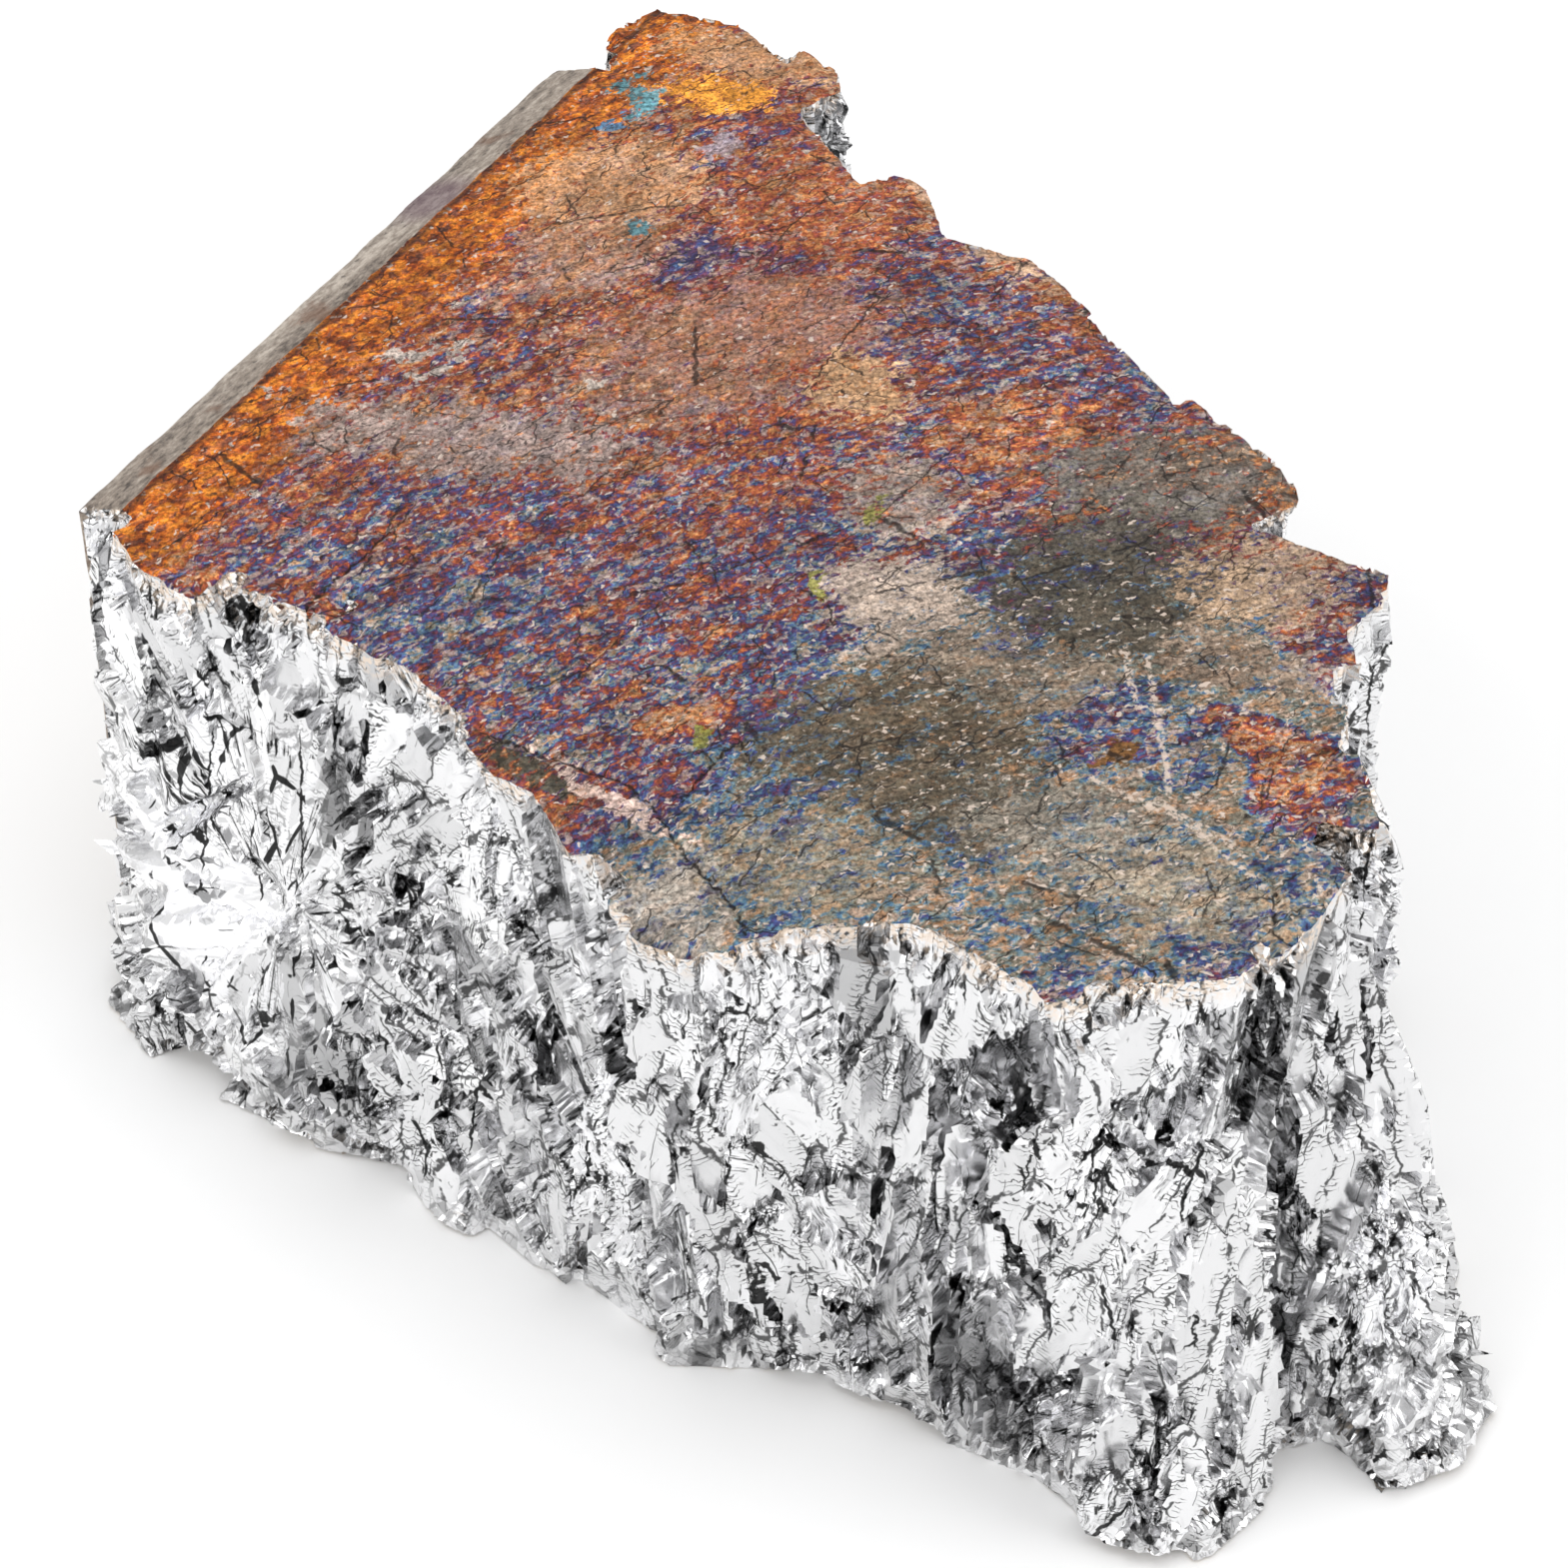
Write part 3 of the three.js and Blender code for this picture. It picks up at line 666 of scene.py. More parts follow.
    def finish(self, **inputs):
        for name, value in inputs.items():
            socket = self.shader.inputs[name.replace("_", " ")]
            if isinstance(value, bpy.types.NodeSocket):
                self.tree.links.new(value, socket)
            else:
                socket.default_value = value
        return self.material


def grey(value):
    return (value, value, value * 1.01, 1.0)


# The fracture's fine pattern. A stretch is how much a form is drawn out: less is longer.
NEEDLE_STRETCH = 0.14
NEEDLE_SLANT = 1.7  # radians between the bundles that slant most
PLATE_STRETCH = 0.34
LONG_LINE_STRETCH = 0.16
BLADE_STRETCH = 0.07
BLADES_PER_RADIAN = 8.0
# The fan's blades round the first angle are painted white as a highlight, round the second dark as shade
HIGHLIGHT_BLADE_ANGLE = -0.35  # radians above the level to the left
SHADED_BLADE_ANGLE = 0.95
# Black of the painted shade in the crevices, blade gaps and pit
BLACK = grey(0.01)
LINE_GREY = grey(0.03)
SHEET_GREY = grey(0.42)
GLINT = grey(0.98)
HATCH_SHADES = [(0.0, grey(0.03)), (0.24, grey(0.36)), (0.46, grey(0.84)), (0.68, grey(1.0))]
GRANULE_SHADES = [(0.1, grey(0.08)), (0.3, grey(0.5)), (0.6, grey(0.97))]
CRUSHED_COLOR = linear(240, 218, 196)

Fan = namedtuple("Fan", "inside blade white dark")
Plate = namedtuple("Plate", "slant choice tone edge")


def grain_places(g):
    """Where a place is in its grain: along the grain's axis, beside it, and into the metal."""
    local = g.offset(g.place, g.attribute("grain_seed"))
    axis = g.attribute("grain_axis")
    across = g.attribute("grain_across")
    along = g.dot(local, axis)
    bend = g.times(g.minus(g.noise(g.place, 0.15), 0.5), 4.0)
    beside = g.plus(g.dot(local, across), bend)
    deep = g.dot(local, g.vector("CROSS_PRODUCT", axis, across))
    return along, beside, g.times(deep, 0.15)


def plate_values(g, along, beside, deep, wander):
    """Long ragged cells: smooth plates, or bundles of needles that each slant their own way."""
    place = g.joined(g.times(along, PLATE_STRETCH), beside, deep)
    place = g.shifted(place, wander, 0.9)
    slant, choice, tone = g.parts(g.cells(place, CELL_SCALE))
    return Plate(slant, choice, tone, g.edge_distance(place, CELL_SCALE))


def needle_places(g, slant, along, beside, deep):
    """How far down its needle a place is, and coordinates drawn out along the needles."""
    angle = g.times(g.minus(slant, 0.5), NEEDLE_SLANT)
    cosine, sine = g.math("COSINE", angle), g.math("SINE", angle)
    down = g.minus(g.times(along, cosine), g.times(beside, sine))
    over = g.plus(g.times(along, sine), g.times(beside, cosine))
    return down, g.joined(g.times(down, NEEDLE_STRETCH), over, deep)


def fan_values(g, squeezed):
    """The fan of blades: where it is, coordinates along the blades, and its blades painted white as a
    highlight and dark as shade.
    """
    from_fan = g.offset(g.place, tuple(FAN_CENTRE))
    level = g.dot(from_fan, FAN_SIDEWAYS)
    rise = g.parts(from_fan)[2]
    reach = g.length(g.joined(level, rise, 0))
    skewed = g.plus(reach, g.times(g.most(level, 0.0), FAN_SKEW))
    ragged = g.times(g.minus(g.noise(squeezed, 0.3, detail=3.0), 0.5), 16.0)
    inside = g.math("LESS_THAN", g.plus(skewed, ragged), FAN_RADIUS)
    near = g.math("LESS_THAN", g.length(from_fan), 2 * FAN_RADIUS)
    inside = g.times(inside, near)
    angle = g.math("ARCTAN2", rise, level)
    blade = g.joined(g.times(reach, BLADE_STRETCH), g.times(angle, BLADES_PER_RADIAN), 0)
    above_left = g.math("ARCTAN2", rise, g.times(level, -1.0))
    white = g.ease(g.math("ABSOLUTE", g.plus(above_left, -HIGHLIGHT_BLADE_ANGLE)), 0.9, 0.6)
    white = g.times(g.times(inside, white), g.ease(skewed, 17.0, 12.0))
    dark = g.ease(g.math("ABSOLUTE", g.plus(above_left, -SHADED_BLADE_ANGLE)), 0.6, 0.3)
    return Fan(inside, blade, white, g.times(inside, dark))


def hatching(g, needle, squeezed, hackly, choice, fan):
    """How densely hatched each place is, and the hatching, from below zero where dark to above it."""
    patches = g.noise(squeezed, 0.3, detail=4.0, roughness=0.6)
    crowded = g.plus(choice, g.swing(patches, -0.4, 0.4))
    dense = g.most(g.times(hackly, 0.7), g.ease(crowded, 0.73, 0.79))
    contour = g.math("SINE", g.times(g.noise(needle, 0.8, detail=3.0, roughness=0.55), 40.0))
    streaks = g.noise(needle, 4.6, detail=4.0, roughness=0.7)
    pattern = g.plus(g.times(contour, 0.8), g.ease(streaks, 0.32, 0.68, -1.0, 1.0))
    pattern = g.plus(pattern, g.blend(dense, 1.6, 0.8))
    # Painted highlight and shade: the fan's white blades are lifted towards lit, its dark ones pushed
    # towards dark
    pattern = g.plus(pattern, g.times(fan.white, 1.5))
    return dense, g.minus(pattern, g.times(fan.dark, 0.9))


def shard_normal(g, needle, dense, fan):
    """Small shards: each is its own flat, turned a little on a cleavage face and more where hatched."""
    turned = g.offset(g.cells(needle, 2.3, "3D"), HALVES)
    finer = g.offset(g.cells(needle, 6.0, "3D"), HALVES)
    turned = g.shifted(turned, finer, 0.45)
    amount = g.times(g.blend(dense, 0.04, 0.38), g.blend(fan.white, 1.0, 0.35))
    normal = g.node("ShaderNodeNewGeometry", {}).outputs["Normal"]
    return g.vector("NORMALIZE", g.shifted(normal, turned, amount))


def thin_lines(g, along, beside, deep, down, plate, fan):
    """Fine dark lines: long ones down the grain, the plates' edges, and ticks that run in from them."""
    drawn_out = g.joined(g.times(along, LONG_LINE_STRETCH), beside, deep)
    long_line = g.edge_line(drawn_out, 0.5, 0.014)
    long_line = g.times(long_line, g.ease(g.noise(g.place, 0.7), 0.47, 0.51))
    outline = g.ease(plate.edge, 0.045, 0.016)
    outline = g.times(outline, g.ease(g.noise(g.place, 0.8), 0.42, 0.48))
    rank = g.plus(g.times(down, 14.0), g.swing(g.noise(g.place, 1.2), -3.0, 3.0))
    ticks = g.times(g.ease(g.math("SINE", rank), 0.7, 0.9), g.ease(plate.edge, 0.3, 0.12))
    ticks = g.times(ticks, g.ease(g.noise(g.place, 0.6), 0.45, 0.51))
    line = g.most(g.most(long_line, outline), ticks)
    return g.times(line, g.blend(fan.inside, 1.0, g.blend(fan.white, 0.6, 0.05)))


def crevice_shade(g, squeezed, wander, crevice):
    """Painted shade: black in the crevices between the grains, open here and there."""
    wavy = g.vector("MULTIPLY", g.place, (1.0, 1.0, 0.28))
    wavy = g.shifted(wavy, wander, 0.7)
    gape = g.ease(g.noise(squeezed, 0.3, detail=1.0), 0.5, 0.66, 0.0, 0.026)
    gap = g.minus(gape, g.edge_distance(wavy, 0.2, "3D"))
    return g.most(g.ease(gap, 0.0, 0.01), g.ease(crevice, 0.5, 1.0, 0, 0.7))


def blade_gap_shade(g, fan):
    """Painted shade: black gaps between the fan's blades, more of them among the dark ones."""
    wide_blade = g.vector("MULTIPLY", fan.blade, (3.0, 0.5, 0.0))
    gape = g.ease(g.noise(g.place, 0.4, detail=2.0), 0.48, 0.6, 0.0, 0.07)
    gape = g.plus(g.times(fan.inside, gape), g.times(fan.dark, 0.02))
    gape = g.minus(gape, g.times(fan.white, 0.04))
    gap = g.minus(gape, g.edge_distance(wide_blade, 1.0))
    return g.ease(gap, 0.0, 0.02)


def pit_shadow(g):
    """Black inside the small round pit."""
    from_pit = g.offset(g.place, tuple(PIT_PLACE))
    level = g.dot(from_pit, FAN_SIDEWAYS)
    reach = g.length(g.joined(level, g.parts(from_pit)[2], 0))
    near = g.math("LESS_THAN", g.length(from_pit), 3 * PIT_RADIUS)
    return g.times(near, g.ease(reach, *PIT_BLACK))


def metal_color(g, tone, sheet, dense, pattern, fan):
    """Pale metal by grain, with darker sheets, painted glints and white blades painted as a highlight,
    down to black in the hatching.
    """
    pale = g.joined(tone, tone, tone)
    # Sheets of darker grey over the pale metal
    pale = g.mix(g.ease(g.noise(sheet, 1.3, detail=4.0), 0.5, 0.75, 0, 0.25), pale, SHEET_GREY)
    glint = g.times(g.ease(pattern, 0.5, 0.7), g.ease(dense, 0.2, 0.7))
    pale = g.mix(g.times(glint, 0.55), pale, GLINT)
    # Painted highlight: blades across the fan, more among the white ones, turn near white
    highlight_blade = g.plus(g.times(fan.white, 0.2), g.noise(fan.blade, 0.5, detail=2.0))
    highlight_blade = g.times(fan.inside, g.ease(highlight_blade, 0.56, 0.6))
    pale = g.mix(highlight_blade, pale, grey(0.99))
    shade = g.ramp(g.ease(pattern, -0.55, 0.55), HATCH_SHADES)
    return g.mix(1.0, pale, shade, blend="MULTIPLY")


def foot_share(g, height):
    """One at the beaded foot and along the bottom edge, where the metal is in small granules."""
    foot = g.vector("DISTANCE", g.place, tuple(BEADED_PLACE))
    return g.most(g.ease(foot, 10.0, 7.0), g.ease(height, 4.0, 1.5))


def fracture_material():
    """Bright metal: flat cleavage faces with fine dark lines, hatched zones, and a fan of blades."""
    g = Graph("fracture")
    hackly, tone, crevice = g.parts(g.attribute("grain_kind"))
    _, _, height = g.parts(g.place)
    squeezed = g.vector("MULTIPLY", g.place, (1.0, 1.0, 0.4))
    wander = g.offset(g.noise(g.place, 1.1, detail=3.0, output="Color"), HALVES)

    along, beside, deep = grain_places(g)
    plate = plate_values(g, along, beside, deep, wander)
    down, needle = needle_places(g, plate.slant, along, beside, deep)
    fan = fan_values(g, squeezed)
    needle = g.blend_vector(fan.inside, needle, fan.blade)
    dense, pattern = hatching(g, needle, squeezed, hackly, plate.choice, fan)

    tone = g.plus(tone, g.ease(plate.tone, 0.0, 1.0, -0.07, 0.07))
    sheet = g.joined(g.times(along, 0.28), beside, deep)
    color = metal_color(g, tone, sheet, dense, pattern, fan)
    line = thin_lines(g, along, beside, deep, down, plate, fan)
    color = g.mix(g.times(line, 0.9), color, LINE_GREY)
    granule, _, _ = g.parts(g.cells(g.place, 0.9, "3D"))
    color = g.mix(g.times(foot_share(g, height), 0.6), color, g.ramp(granule, GRANULE_SHADES))
    black = g.most(crevice_shade(g, squeezed, wander, crevice), blade_gap_shade(g, fan))
    black = g.most(black, pit_shadow(g))
    # Painted shade: black in the crevices, the blade gaps and the pit
    color = g.mix(g.times(black, 0.97), color, BLACK)
    crushed = g.ease(g.noise(g.place, 2.6, detail=3.0), 0.42, 0.56)
    crushed = g.times(g.ease(height, 43.4, 45.6), crushed)
    color = g.mix(g.times(crushed, 0.7), color, CRUSHED_COLOR)
    normal = shard_normal(g, needle, dense, fan)
    return g.finish(Base_Color=color, Metallic=1.0, Roughness=g.blend(dense, 0.2, 0.26), Normal=normal)


# Tarnish on the cast face, from the thinnest film to the thickest
FILM_COLORS = [
    (0.00, linear(206, 182, 160)),
    (0.10, linear(202, 156, 120)),
    (0.22, linear(214, 146, 86)),
    (0.32, linear(182, 98, 52)),
    (0.42, linear(154, 70, 44)),
    (0.52, linear(116, 50, 62)),
    (0.62, linear(70, 52, 100)),
    (0.72, linear(50, 72, 130)),
    (0.82, linear(78, 122, 146)),
    (0.91, linear(128, 136, 126)),
    (1.00, linear(110, 104, 90)),
]
BAND_WIDTH = 6.0  # an orange band runs along the mould edge
BAND_FILM = 0.30

# Where the film differs: middle, half length and half width, turn, film, spread of the speckles
FILM_ZONES = [
    ((20.0, -26.0), (24.0, 17.0), 0, 1.0, 0.7),  # olive-grey, under the right front
    ((-27.0, 13.0), (15.0, 5.0), 60, 0.48, 0.9),  # rust and purple, beside the orange band
    ((-16.0, 12.0), (8.0, 5.0), 40, 0.46, 1.0),
    ((-24.0, -9.2), (14.0, 7.5), 20, 0.59, 1.1),  # indigo and rust, at the left front
    ((-20.0, -16.5), (8.0, 4.5), 20, 0.73, 0.9),
    ((-9.0, -23.2), (14.0, 7.0), 20, 0.66, 1.3),  # teal and orange, in front of the middle
    ((1.0, -3.2), (9.0, 7.0), 0, 0.50, 1.1),
    ((-3.0, -13.0), (8.0, 6.0), 10, 0.60, 1.1),
    ((15.0, 12.8), (13.0, 6.5), -50, 0.60, 1.0),  # purple, along the right
    ((26.0, 8.0), (4.0, 3.0), -50, 0.70, 1.0),
    ((3.0, 28.5), (9.0, 7.0), 60, 0.37, 0.7),  # rust, towards the back
    ((-1.0, 21.3), (6.0, 2.5), 5, 0.56, 0.6),
    ((-6.0, 23.3), (3.0, 3.0), 0, 0.64, 0.4),
    ((17.5, 3.5), (5.0, 3.5), 0, 0.34, 0.9),
    ((7.0, -7.2), (6.5, 3.5), 10, 0.66, 1.2),
    ((16.5, -16.2), (2.8, 3.8), 20, 0.74, 0.8),
    ((23.5, -27.5), (5.5, 4.5), 0, 0.74, 0.9),  # blue, at the right front
    ((34.0, -32.2), (3.0, 5.0), 0, 0.46, 1.3),
    ((36.5, -17.2), (3.0, 5.0), 0, 0.58, 1.1),
    ((15.0, -42.2), (19.0, 7.0), 0, 0.92, 0.6),  # grey-green, along the front
    ((-5.0, -40.2), (7.0, 7.0), 0, 0.90, 0.7),
    ((-5.0, -26.2), (3.4, 1.8), 30, 0.28, 1.0),
    ((21.9, -29.4), (1.0, 1.4), 0, 0.36, 0.2),
    ((32.0, -27.5), (3.5, 1.6), -30, 0.32, 1.3),
]

# Calmer places: middle, half length and half width, turn, colour, cover
CALM_ZONES = [
    ((-12.0, 30.8), (6.5, 5.5), 20, (212, 162, 118), 0.75),
    ((-13.0, 22.8), (6.5, 4.0), 40, (190, 148, 118), 0.60),
    ((-2.0, 14.3), (11.0, 5.0), 10, (176, 130, 104), 0.65),
    ((-6.0, 7.0), (8.0, 3.5), 10, (170, 134, 112), 0.55),
    ((12.0, 32.8), (15.0, 1.9), -60, (208, 168, 132), 0.75),
    ((-1.0, 48.3), (6.0, 3.8), -20, (208, 158, 112), 0.75),
    ((-4.0, 42.8), (4.0, 2.2), 5, (252, 168, 62), 0.95),
    ((6.5, 7.8), (3.6, 3.6), 0, (204, 162, 122), 0.90),
    ((-19.5, 1.8), (11.0, 3.6), -8, (162, 142, 134), 0.88),
    ((-29.0, 3.5), (4.5, 2.2), 40, (166, 146, 136), 0.60),
    ((-3.5, 35.8), (2.0, 1.6), 0, (176, 158, 164), 0.80),
    ((9.0, -14.5), (4.7, 5.2), 0, (188, 169, 154), 0.92),
    ((9.0, -4.4), (3.8, 3.4), 0, (168, 150, 136), 0.75),
    ((23.5, -13.2), (8.5, 7.5), 0, (86, 79, 68), 0.94),
    ((28.0, -3.0), (8.5, 5.0), 0, (118, 111, 101), 0.88),
    ((15.0, -21.5), (7.0, 3.5), 0, (138, 122, 106), 0.70),
    ((8.5, -28.5), (8.5, 6.0), 0, (92, 80, 64), 0.82),
    ((13.5, -34.5), (5.5, 3.5), 0, (92, 82, 68), 0.78),
    ((19.5, -36.5), (7.0, 3.5), -20, (168, 160, 148), 0.50),
    ((33.5, -12.7), (5.5, 4.6), 0, (188, 158, 130), 0.78),
    ((31.0, -21.0), (5.0, 2.5), -10, (160, 138, 120), 0.70),
    ((26.0, -41.5), (6.0, 4.0), -20, (166, 150, 128), 0.50),
    ((1.0, -39.0), (7.0, 4.0), 0, (150, 134, 110), 0.50),
    ((-6.0, -42.5), (3.5, 3.5), 0, (170, 160, 150), 0.75),
    ((-14.2, -31.0), (4.0, 1.7), -45, (94, 88, 72), 0.92),
    ((-9.7, -33.0), (5.5, 1.0), -45, (230, 200, 186), 0.85),
    ((-10.0, 42.0), (1.3, 2.1), 20, (98, 152, 162), 0.95),
    ((-12.0, 39.2), (1.0, 0.8), 0, (84, 124, 156), 0.95),
    ((-10.2, 26.0), (0.9, 0.7), 0, (92, 140, 150), 0.95),
    ((-26.0, 12.0), (2.0, 0.8), 25, (196, 184, 174), 0.90),
    ((-23.5, 9.6), (1.2, 0.6), 10, (192, 180, 170), 0.90),
    ((-21.8, 12.4), (1.0, 0.6), 10, (192, 180, 170), 0.90),
    ((-11.2, 7.2), (1.1, 0.7), 20, (206, 192, 180), 0.90),
    ((21.9, -29.4), (1.1, 1.7), 0, (112, 78, 44), 1.0),
    ((7.6, -5.7), (0.5, 1.2), -20, (150, 148, 62), 0.80),
    ((3.5, -13.7), (0.5, 1.3), -20, (150, 148, 62), 0.80),
    ((-3.6, -28.0), (0.5, 1.2), -20, (150, 148, 62), 0.80),
    ((-9.0, -40.3), (0.6, 1.2), -40, (150, 148, 62), 0.70),
]


# Other colours of the cast face
HAZE_COLOR = linear(134, 112, 102)
WORN_COLOR = linear(184, 156, 138)
WARM_COLOR = linear(174, 128, 90)
FLAKE_COLOR = linear(186, 172, 160)
GLINT_FLECK_COLOR = linear(222, 204, 190)
SHADOW_COLOR = linear(44, 36, 34)
SCRATCH_COLOR = linear(226, 206, 190)
CRACK_AND_SHADE_COLOR = linear(28, 22, 20)
AMBER_COLORS = [(0.38, linear(226, 136, 36)), (0.5, linear(190, 94, 20)), (0.62, linear(104, 42, 20))]

SPECKLE_SPREAD = 0.9  # how strongly the speckles change the film, outside the zones
OVAL_EDGE = 0.45  # how softly a zone ends, as a share of its size
STREAK_STRETCH = 1.7
STEEP_TURN = 42  # degrees: the streaks' direction at the left
LEVEL_TURN = 20  # and at the right
THIN_LINES = ((44, 4.0, 0.2), (44, 4.0, 0.5), (24, 3.0, 0.35))  # turn, stretch and scale of each network


def turned_places(g, place, turn, lengths):
    """Coordinates on the cast face along a direction and across it, each divided by its length."""
    angle = math.radians(turn)
    cosine, sine = math.cos(angle), math.sin(angle)
    along = g.dot(place, (cosine / lengths[0], sine / lengths[0], 0))
    across = g.dot(place, (-sine / lengths[1], cosine / lengths[1], 0))
    return g.joined(along, across, 0)


def oval(g, place, x, y, lengths, turn):
    """One inside an oval on the cast face, easing to zero outside it."""
    moved = g.offset(place, (x, y, 0))
    reach = g.length(turned_places(g, moved, turn, lengths))
    return g.ease(reach, 1 + OVAL_EDGE, 1 - OVAL_EDGE)


def line_distance(g, place, start, end):
    """How far a place on the cast face is from a straight line between two points."""
    step = (end[0] - start[0], end[1] - start[1], 0)
    length = math.hypot(*step)
    moved = g.offset(place, (*start, 0))
    share = g.dot(moved, (step[0] / length**2, step[1] / length**2, 0))
    share = g.plus(share, 0.0, clamp=True)
    nearest = g.vector("SCALE", step, Scale=share)
    return g.vector("DISTANCE", moved, nearest)


def nearest_line(g, place, lines):
    """How far a place is from the nearest of several bent lines."""
    best = None
    for line in lines:
        for start, end in zip(line, line[1:]):
            gap = line_distance(g, place, start, end)
            best = gap if best is None else g.math("MINIMUM", best, gap)
    return best


class CastFace:
    """Places on the cast face, and the streaked noises and speckles that its colours share."""

    def __init__(self, g):
        self.g = g
        x, self.y, _ = g.parts(g.place)
        self.flat = g.joined(x, self.y, 0.0)
        self.wandering = g.drift(self.flat, 0.2, 8.0, detail=4.0, roughness=0.6)
        self.rough = g.drift(self.flat, 1.3, 0.8, detail=2.0)
        self.right = g.ease(x, -8.0, 12.0)
        self.steep = turned_places(g, self.rough, STEEP_TURN, (STREAK_STRETCH, 1))
        self.level = turned_places(g, self.rough, LEVEL_TURN, (STREAK_STRETCH, 1))
        self.broad = self.streaks(0.25, 3.0)
        self.patchy = self.streaks(0.5, 3.0)
        self.middling = self.streaks(0.9, 3.0, 0.65)
        self.fine = self.streaks(1.9, 4.0, 0.72)
        self.coarse_speckle = self.speckle(2.9)
        self.fine_speckle = self.speckle(5.5)
        self.from_wall = self.wall_distance()
        ragged = g.plus(self.from_wall, self.spread(self.fine, 2.0))
        self.band = g.ease(ragged, -BAND_WIDTH - 1.0, -BAND_WIDTH + 1.0)

    def streaks(self, scale, detail, roughness=0.6):
        """Noise in streaks, steep at the left and more level at the right."""
        steep = self.g.noise(self.steep, scale, detail=detail, roughness=roughness)
        level = self.g.noise(self.level, scale, detail=detail, roughness=roughness)
        return self.g.blend(self.right, steep, level)

    def speckle(self, scale):
        """A value for each small cell, drawn out like the streaks."""
        steep, _, _ = self.g.parts(self.g.cells(self.steep, scale))
        level, _, _ = self.g.parts(self.g.cells(self.level, scale))
        return self.g.blend(self.g.math("GREATER_THAN", self.right, 0.5), steep, level)

    def wall_distance(self):
        """How far out from the bevel's inner line a place is, below zero on the face."""
        along = WALL_END - WALL_START
        length = math.hypot(*along)
        outward = (along[1] / length, -along[0] / length, 0)
        from_start = self.g.offset(self.flat, (*WALL_START, 0))
        return self.g.dot(from_start, outward)

    def spread(self, noise, amount, low=0.3, high=0.7):
        """A noise made to run from minus the amount to the amount."""
        return self.g.ease(noise, low, high, -amount, amount)


def film_thickness(g, face):
    """The tarnish film: its zones, the band along the mould edge, and speckles of every size."""
    film = g.swing(face.broad, 0.34, 0.62)
    spread = SPECKLE_SPREAD
    for middle, lengths, turn, value, speckles in FILM_ZONES:
        inside = oval(g, face.wandering, *middle, lengths, turn)
        film = g.blend(inside, film, value)
        spread = g.blend(inside, spread, speckles)
    film = g.blend(face.band, film, BAND_FILM)
    spread = g.blend(face.band, spread, 0.5)
    speckles = face.spread(face.fine, 0.13, 0.25, 0.75)
    speckles = g.plus(speckles, face.spread(face.coarse_speckle, 0.1, 0, 1))
    speckles = g.plus(speckles, face.spread(face.patchy, 0.16))
    speckles = g.plus(speckles, face.spread(face.middling, 0.16))
    speckles = g.plus(speckles, face.spread(face.fine_speckle, 0.08, 0, 1))
    return g.plus(film, g.times(speckles, spread), clamp=True)


def tarnish_color(g, face, film):
    """The film's colour, amber in the band, with worn, warm and flaked places."""
    color = g.mix(0.1, g.ramp(film, FILM_COLORS), HAZE_COLOR)
    lumps = g.plus(g.times(face.middling, 0.8), g.times(face.coarse_speckle, 0.2))
    color = g.mix(g.times(face.band, 0.85), color, g.ramp(lumps, AMBER_COLORS))
    worn = g.plus(face.streaks(1.2, 5.0, 0.75), face.spread(face.coarse_speckle, 0.08, 0, 1))
    worn = g.times(g.ease(worn, 0.53, 0.6, 0, 0.68), g.blend(face.band, 1.0, 0.2))
    color = g.mix(worn, color, WORN_COLOR)
    warm = g.ease(face.streaks(1.1, 4.0, 0.7), 0.5, 0.58, 0.0, 0.75)
    color = g.mix(g.times(g.ease(film, 0.84, 0.94), warm), color, WARM_COLOR)
    flakes = g.noise(face.rough, 0.9, detail=3.0, roughness=0.6)
    flakes = g.plus(flakes, face.spread(face.patchy, 0.06))
    return g.mix(g.ease(flakes, 0.65, 0.67, 0.0, 0.85), color, FLAKE_COLOR)


def with_calm_zones(g, face, color):
    """The colour with the calmer places laid over it, each with a broken edge."""
    broken = face.spread(face.fine, 1.1, 0.25, 0.75)
    broken = g.plus(broken, face.spread(face.coarse_speckle, 0.45, 0, 1))
    broken = g.plus(broken, face.spread(face.broad, 0.35))
    for middle, lengths, turn, value, cover in CALM_ZONES:
        inside = oval(g, face.wandering, *middle, lengths, turn)
        share = g.ease(g.plus(g.times(inside, 1.3), broken), 0.3, 0.9, 0, cover)
        share = g.times(share, g.ease(inside, 0.0, 0.1))
        color = g.mix(share, color, linear(*value))
    return color


def brightness(g, face):
    """Cloudy light and dark over all the colours."""
    cloud = g.swing(face.streaks(0.8, 6.0, 0.8), 0.42, 1.38)
    grit = g.noise(face.flat, 2.8, detail=4.0, roughness=0.75)
    grit = g.swing(grit, 0.35, 1.65)
    return g.times(g.times(cloud, grit), g.swing(face.broad, 0.72, 1.24))


def with_flecks(g, face, color):
    """The colour with pale flecks painted as glints, more at the right front, and dark ones."""
    many = g.times(face.right, g.ease(face.y, -10.0, -20.0, 0.0, 0.08))
    # Painted glints: sparse pale flecks
    pale = g.ease(g.plus(face.fine_speckle, many), 0.93, 0.96)
    pale = g.times(pale, g.ease(face.streaks(1.3, 3.0), 0.48, 0.58))
    color = g.mix(g.times(pale, 0.8), color, GLINT_FLECK_COLOR)
    shadow = g.ease(face.streaks(2.0, 2.0), 0.44, 0.56)
    shadow = g.times(g.ease(face.fine_speckle, 0.10, 0.05), shadow)
    return g.mix(g.times(shadow, 0.75), color, SHADOW_COLOR)


def scratch_share(g, face):
    """One on the scratches, broken here and there."""
    scratch = g.ease(nearest_line(g, face.rough, SCRATCHES), 0.34, 0.14)
    broken = g.noise(face.flat, 1.6, detail=4.0, roughness=0.7)
    return g.times(scratch, g.ease(broken, 0.46, 0.54))


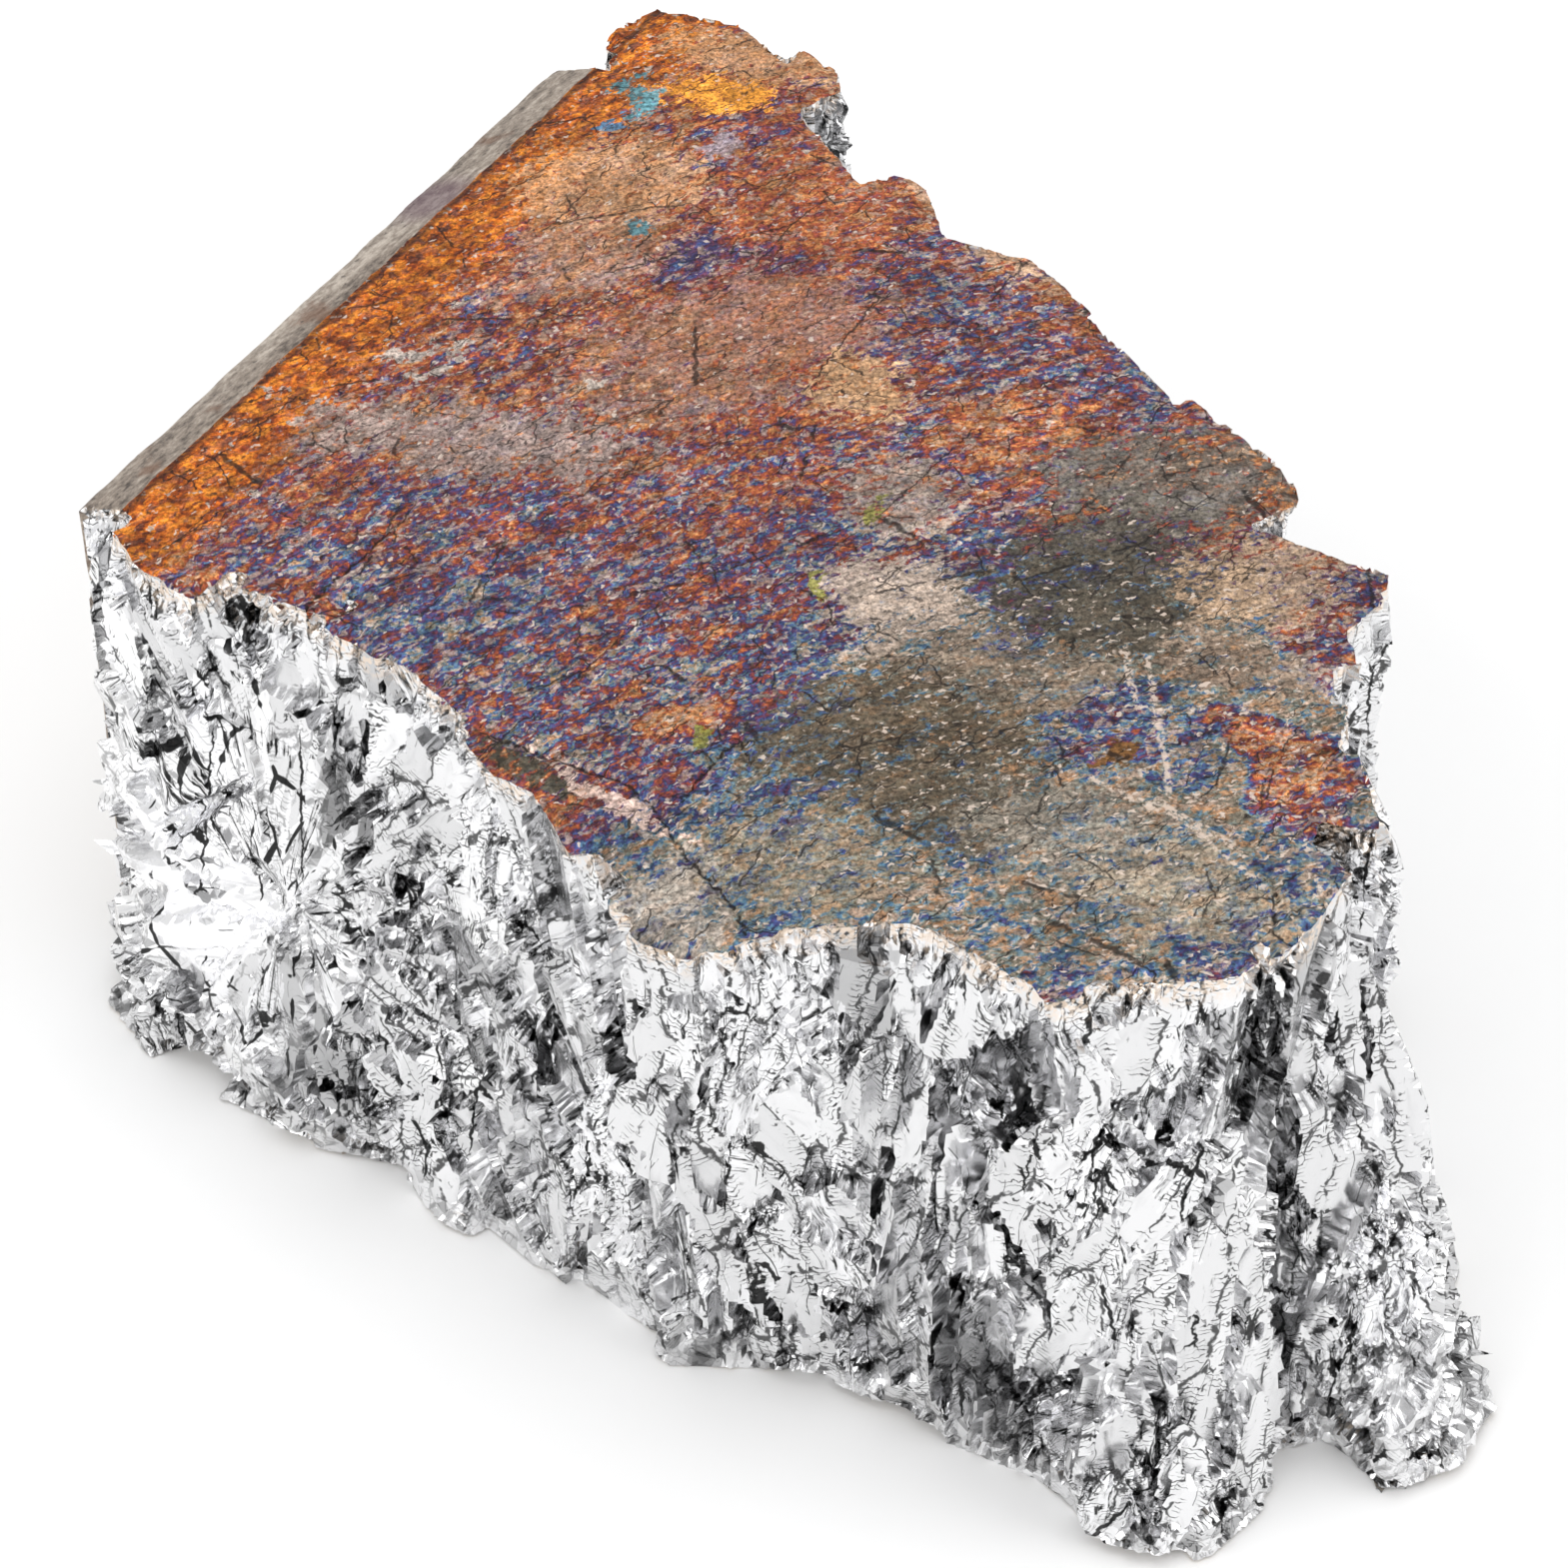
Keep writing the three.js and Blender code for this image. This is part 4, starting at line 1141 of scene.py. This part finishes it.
def dark_marks(g, face):
    """The cracks, a painted shadow line in the groove along the band, and networks of thin dark lines.
    """
    lines = None
    for turn, stretch, scale in THIN_LINES:
        drawn_out = turned_places(g, face.rough, turn, (stretch, 1))
        network = g.edge_line(drawn_out, scale, 0.014)
        lines = network if lines is None else g.most(lines, network)
    lines = g.times(lines, g.ease(g.noise(face.flat, 0.3, detail=4.0), 0.47, 0.51))
    crack = g.ease(nearest_line(g, face.rough, CRACKS), 0.15, 0.05)
    # Painted shadow: a thin dark line in the groove along the band
    groove = g.ease(g.math("ABSOLUTE", g.plus(face.from_wall, 0.15)), 0.45, 0.1)
    return g.most(g.most(crack, g.times(groove, 0.7)), g.times(lines, 0.9))


def cast_face_material():
    """The cast face: a thin film of tarnish in many colours, streaked and speckled."""
    g = Graph("cast_face")
    face = CastFace(g)
    color = tarnish_color(g, face, film_thickness(g, face))
    color = with_calm_zones(g, face, color)
    color = g.vector("SCALE", color, Scale=brightness(g, face))
    color = with_flecks(g, face, color)
    color = g.mix(g.times(scratch_share(g, face), 0.75), color, SCRATCH_COLOR)
    dark = dark_marks(g, face)
    # Dark cracks and lines, and the groove's painted shadow
    color = g.mix(g.times(dark, 0.9), color, CRACK_AND_SHADE_COLOR)

    height = g.minus(g.plus(face.fine, g.times(face.fine_speckle, 0.25)), dark)
    normal = g.bump(height, 0.5, 0.15)
    rough = g.swing(face.fine, 0.5, 0.62)
    settings = {"Metallic": 0.3, "Specular_IOR_Level": 0.2}
    return g.finish(Base_Color=color, Roughness=rough, Normal=normal, **settings)


MOULD_COLORS = [
    (0.3, linear(84, 75, 68)),
    (0.42, linear(132, 120, 109)),
    (0.55, linear(162, 149, 136)),
    (0.7, linear(202, 190, 177)),
]
BROWN_STAIN = linear(120, 84, 60)
PURPLE_STAIN = linear(84, 48, 74)
PURPLE_STAIN_PLACE = (-25.0, 30.5, 45.0)
PIT_BROWN = linear(60, 54, 50)


def mould_edge_material():
    """The edge that lay against the mould: dull grey, rubbed along its length, with brown stains."""
    g = Graph("mould_edge")
    along_wall = WALL_END - WALL_START
    turn = math.degrees(math.atan2(along_wall[1], along_wall[0]))
    along, across, _ = g.parts(turned_places(g, g.place, turn, (1.8, 1)))
    _, _, up = g.parts(g.place)
    streaks = g.noise(g.joined(along, across, up), 2.0, detail=5.0, roughness=0.75)
    flow = g.noise(g.joined(g.times(along, 0.3), across, up), 0.35, detail=4.0, roughness=0.6)
    streaks = g.plus(streaks, g.swing(flow, -0.12, 0.12))
    blotches = g.noise(g.place, 0.2, detail=4.0, roughness=0.6)
    color = g.mix(g.ease(blotches, 0.56, 0.68, 0, 0.6), g.ramp(streaks, MOULD_COLORS), BROWN_STAIN)
    stain = g.ease(g.vector("DISTANCE", g.place, PURPLE_STAIN_PLACE), 4.5, 1.5)
    color = g.mix(g.times(stain, 0.6), color, PURPLE_STAIN)
    pits = g.ease(g.noise(g.place, 1.6, detail=2.0), 0.66, 0.74)
    color = g.mix(g.times(pits, 0.7), color, PIT_BROWN)
    normal = g.bump(g.minus(streaks, pits), 0.5, 0.15)
    rough = g.swing(streaks, 0.62, 0.45)
    return g.finish(Base_Color=color, Metallic=0.3, Roughness=rough, Normal=normal)


UNDERSIDE_COLORS = [
    (0.35, linear(120, 114, 108)),
    (0.5, linear(160, 152, 142)),
    (0.65, linear(182, 158, 122)),
]
UNDERSIDE_PALE = linear(214, 210, 204)


def underside_material():
    """The ingot's open face: dull metal with soft grey and straw-coloured tarnish."""
    g = Graph("underside")
    cloud = g.noise(g.place, 0.12, detail=5.0, roughness=0.6)
    fine = g.noise(g.place, 1.3, detail=5.0, roughness=0.7)
    color = g.mix(g.ease(fine, 0.6, 0.75, 0, 0.6), g.ramp(cloud, UNDERSIDE_COLORS), UNDERSIDE_PALE)
    color = g.mix(g.ease(fine, 0.4, 0.28, 0, 0.7), color, PIT_BROWN)
    rough = g.swing(fine, 0.6, 0.4)
    return g.finish(Base_Color=color, Metallic=0.75, Roughness=rough, Normal=g.bump(fine, 0.5, 0.2))


def floor_material():
    """Plain pale paper."""
    return Graph("floor_paper").finish(Base_Color=FLOOR_COLOR, Roughness=0.85)


def link(thing):
    bpy.context.scene.collection.objects.link(thing)
    return thing


def add_camera():
    camera = link(bpy.data.objects.new("camera", bpy.data.cameras.new("camera")))
    back = Vector((0, -math.cos(CAMERA_ELEVATION), math.sin(CAMERA_ELEVATION)))
    camera.location = CAMERA_TARGET + back * CAMERA_DISTANCE
    camera.rotation_euler = back.to_track_quat("Z", "Y").to_euler()
    camera.data.lens = CAMERA_LENS
    camera.data.sensor_width = CAMERA_SENSOR
    camera.data.clip_start = 0.01
    bpy.context.scene.camera = camera


def add_floor():
    mesh = bpy.data.meshes.new("floor")
    corners = [(x * FLOOR_HALF, y * FLOOR_HALF, 0) for x, y in ((-1, -1), (1, -1), (1, 1), (-1, 1))]
    mesh.from_pydata(corners, [], [(0, 1, 2, 3)])
    mesh.materials.append(floor_material())
    link(bpy.data.objects.new("floor", mesh))


def add_softbox(name, place, size, power):
    light = bpy.data.lights.new(name, "AREA")
    light.shape = "RECTANGLE"
    light.size, light.size_y = size
    light.energy = power
    lamp = link(bpy.data.objects.new(name, light))
    lamp.location = place
    lamp.rotation_euler = Vector(place).to_track_quat("Z", "Y").to_euler()


def add_lights():
    for name, place, size, power in SOFTBOXES:
        add_softbox(name, place, size, power)
    world = bpy.data.worlds.new("studio")
    world.use_nodes = True
    world.node_tree.nodes["Background"].inputs["Color"].default_value = STUDIO_COLOR
    bpy.context.scene.world = world


def main():
    grains = {}
    mesh = build_surface(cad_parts["bismuth_lump"], grains)
    materials = [fracture_material(), cast_face_material(), mould_edge_material(), underside_material()]
    paint_kinds(mesh, materials, grains)
    piece = link(bpy.data.objects.new("bismuth_surface", mesh))
    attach(piece, "root")
    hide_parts("bismuth_lump")
    add_camera()
    add_floor()
    add_lights()
    bpy.context.scene.view_settings.view_transform = "Standard"
    print("triangles", triangle_count(mesh), "grains", len(grains["tone"]))


main()
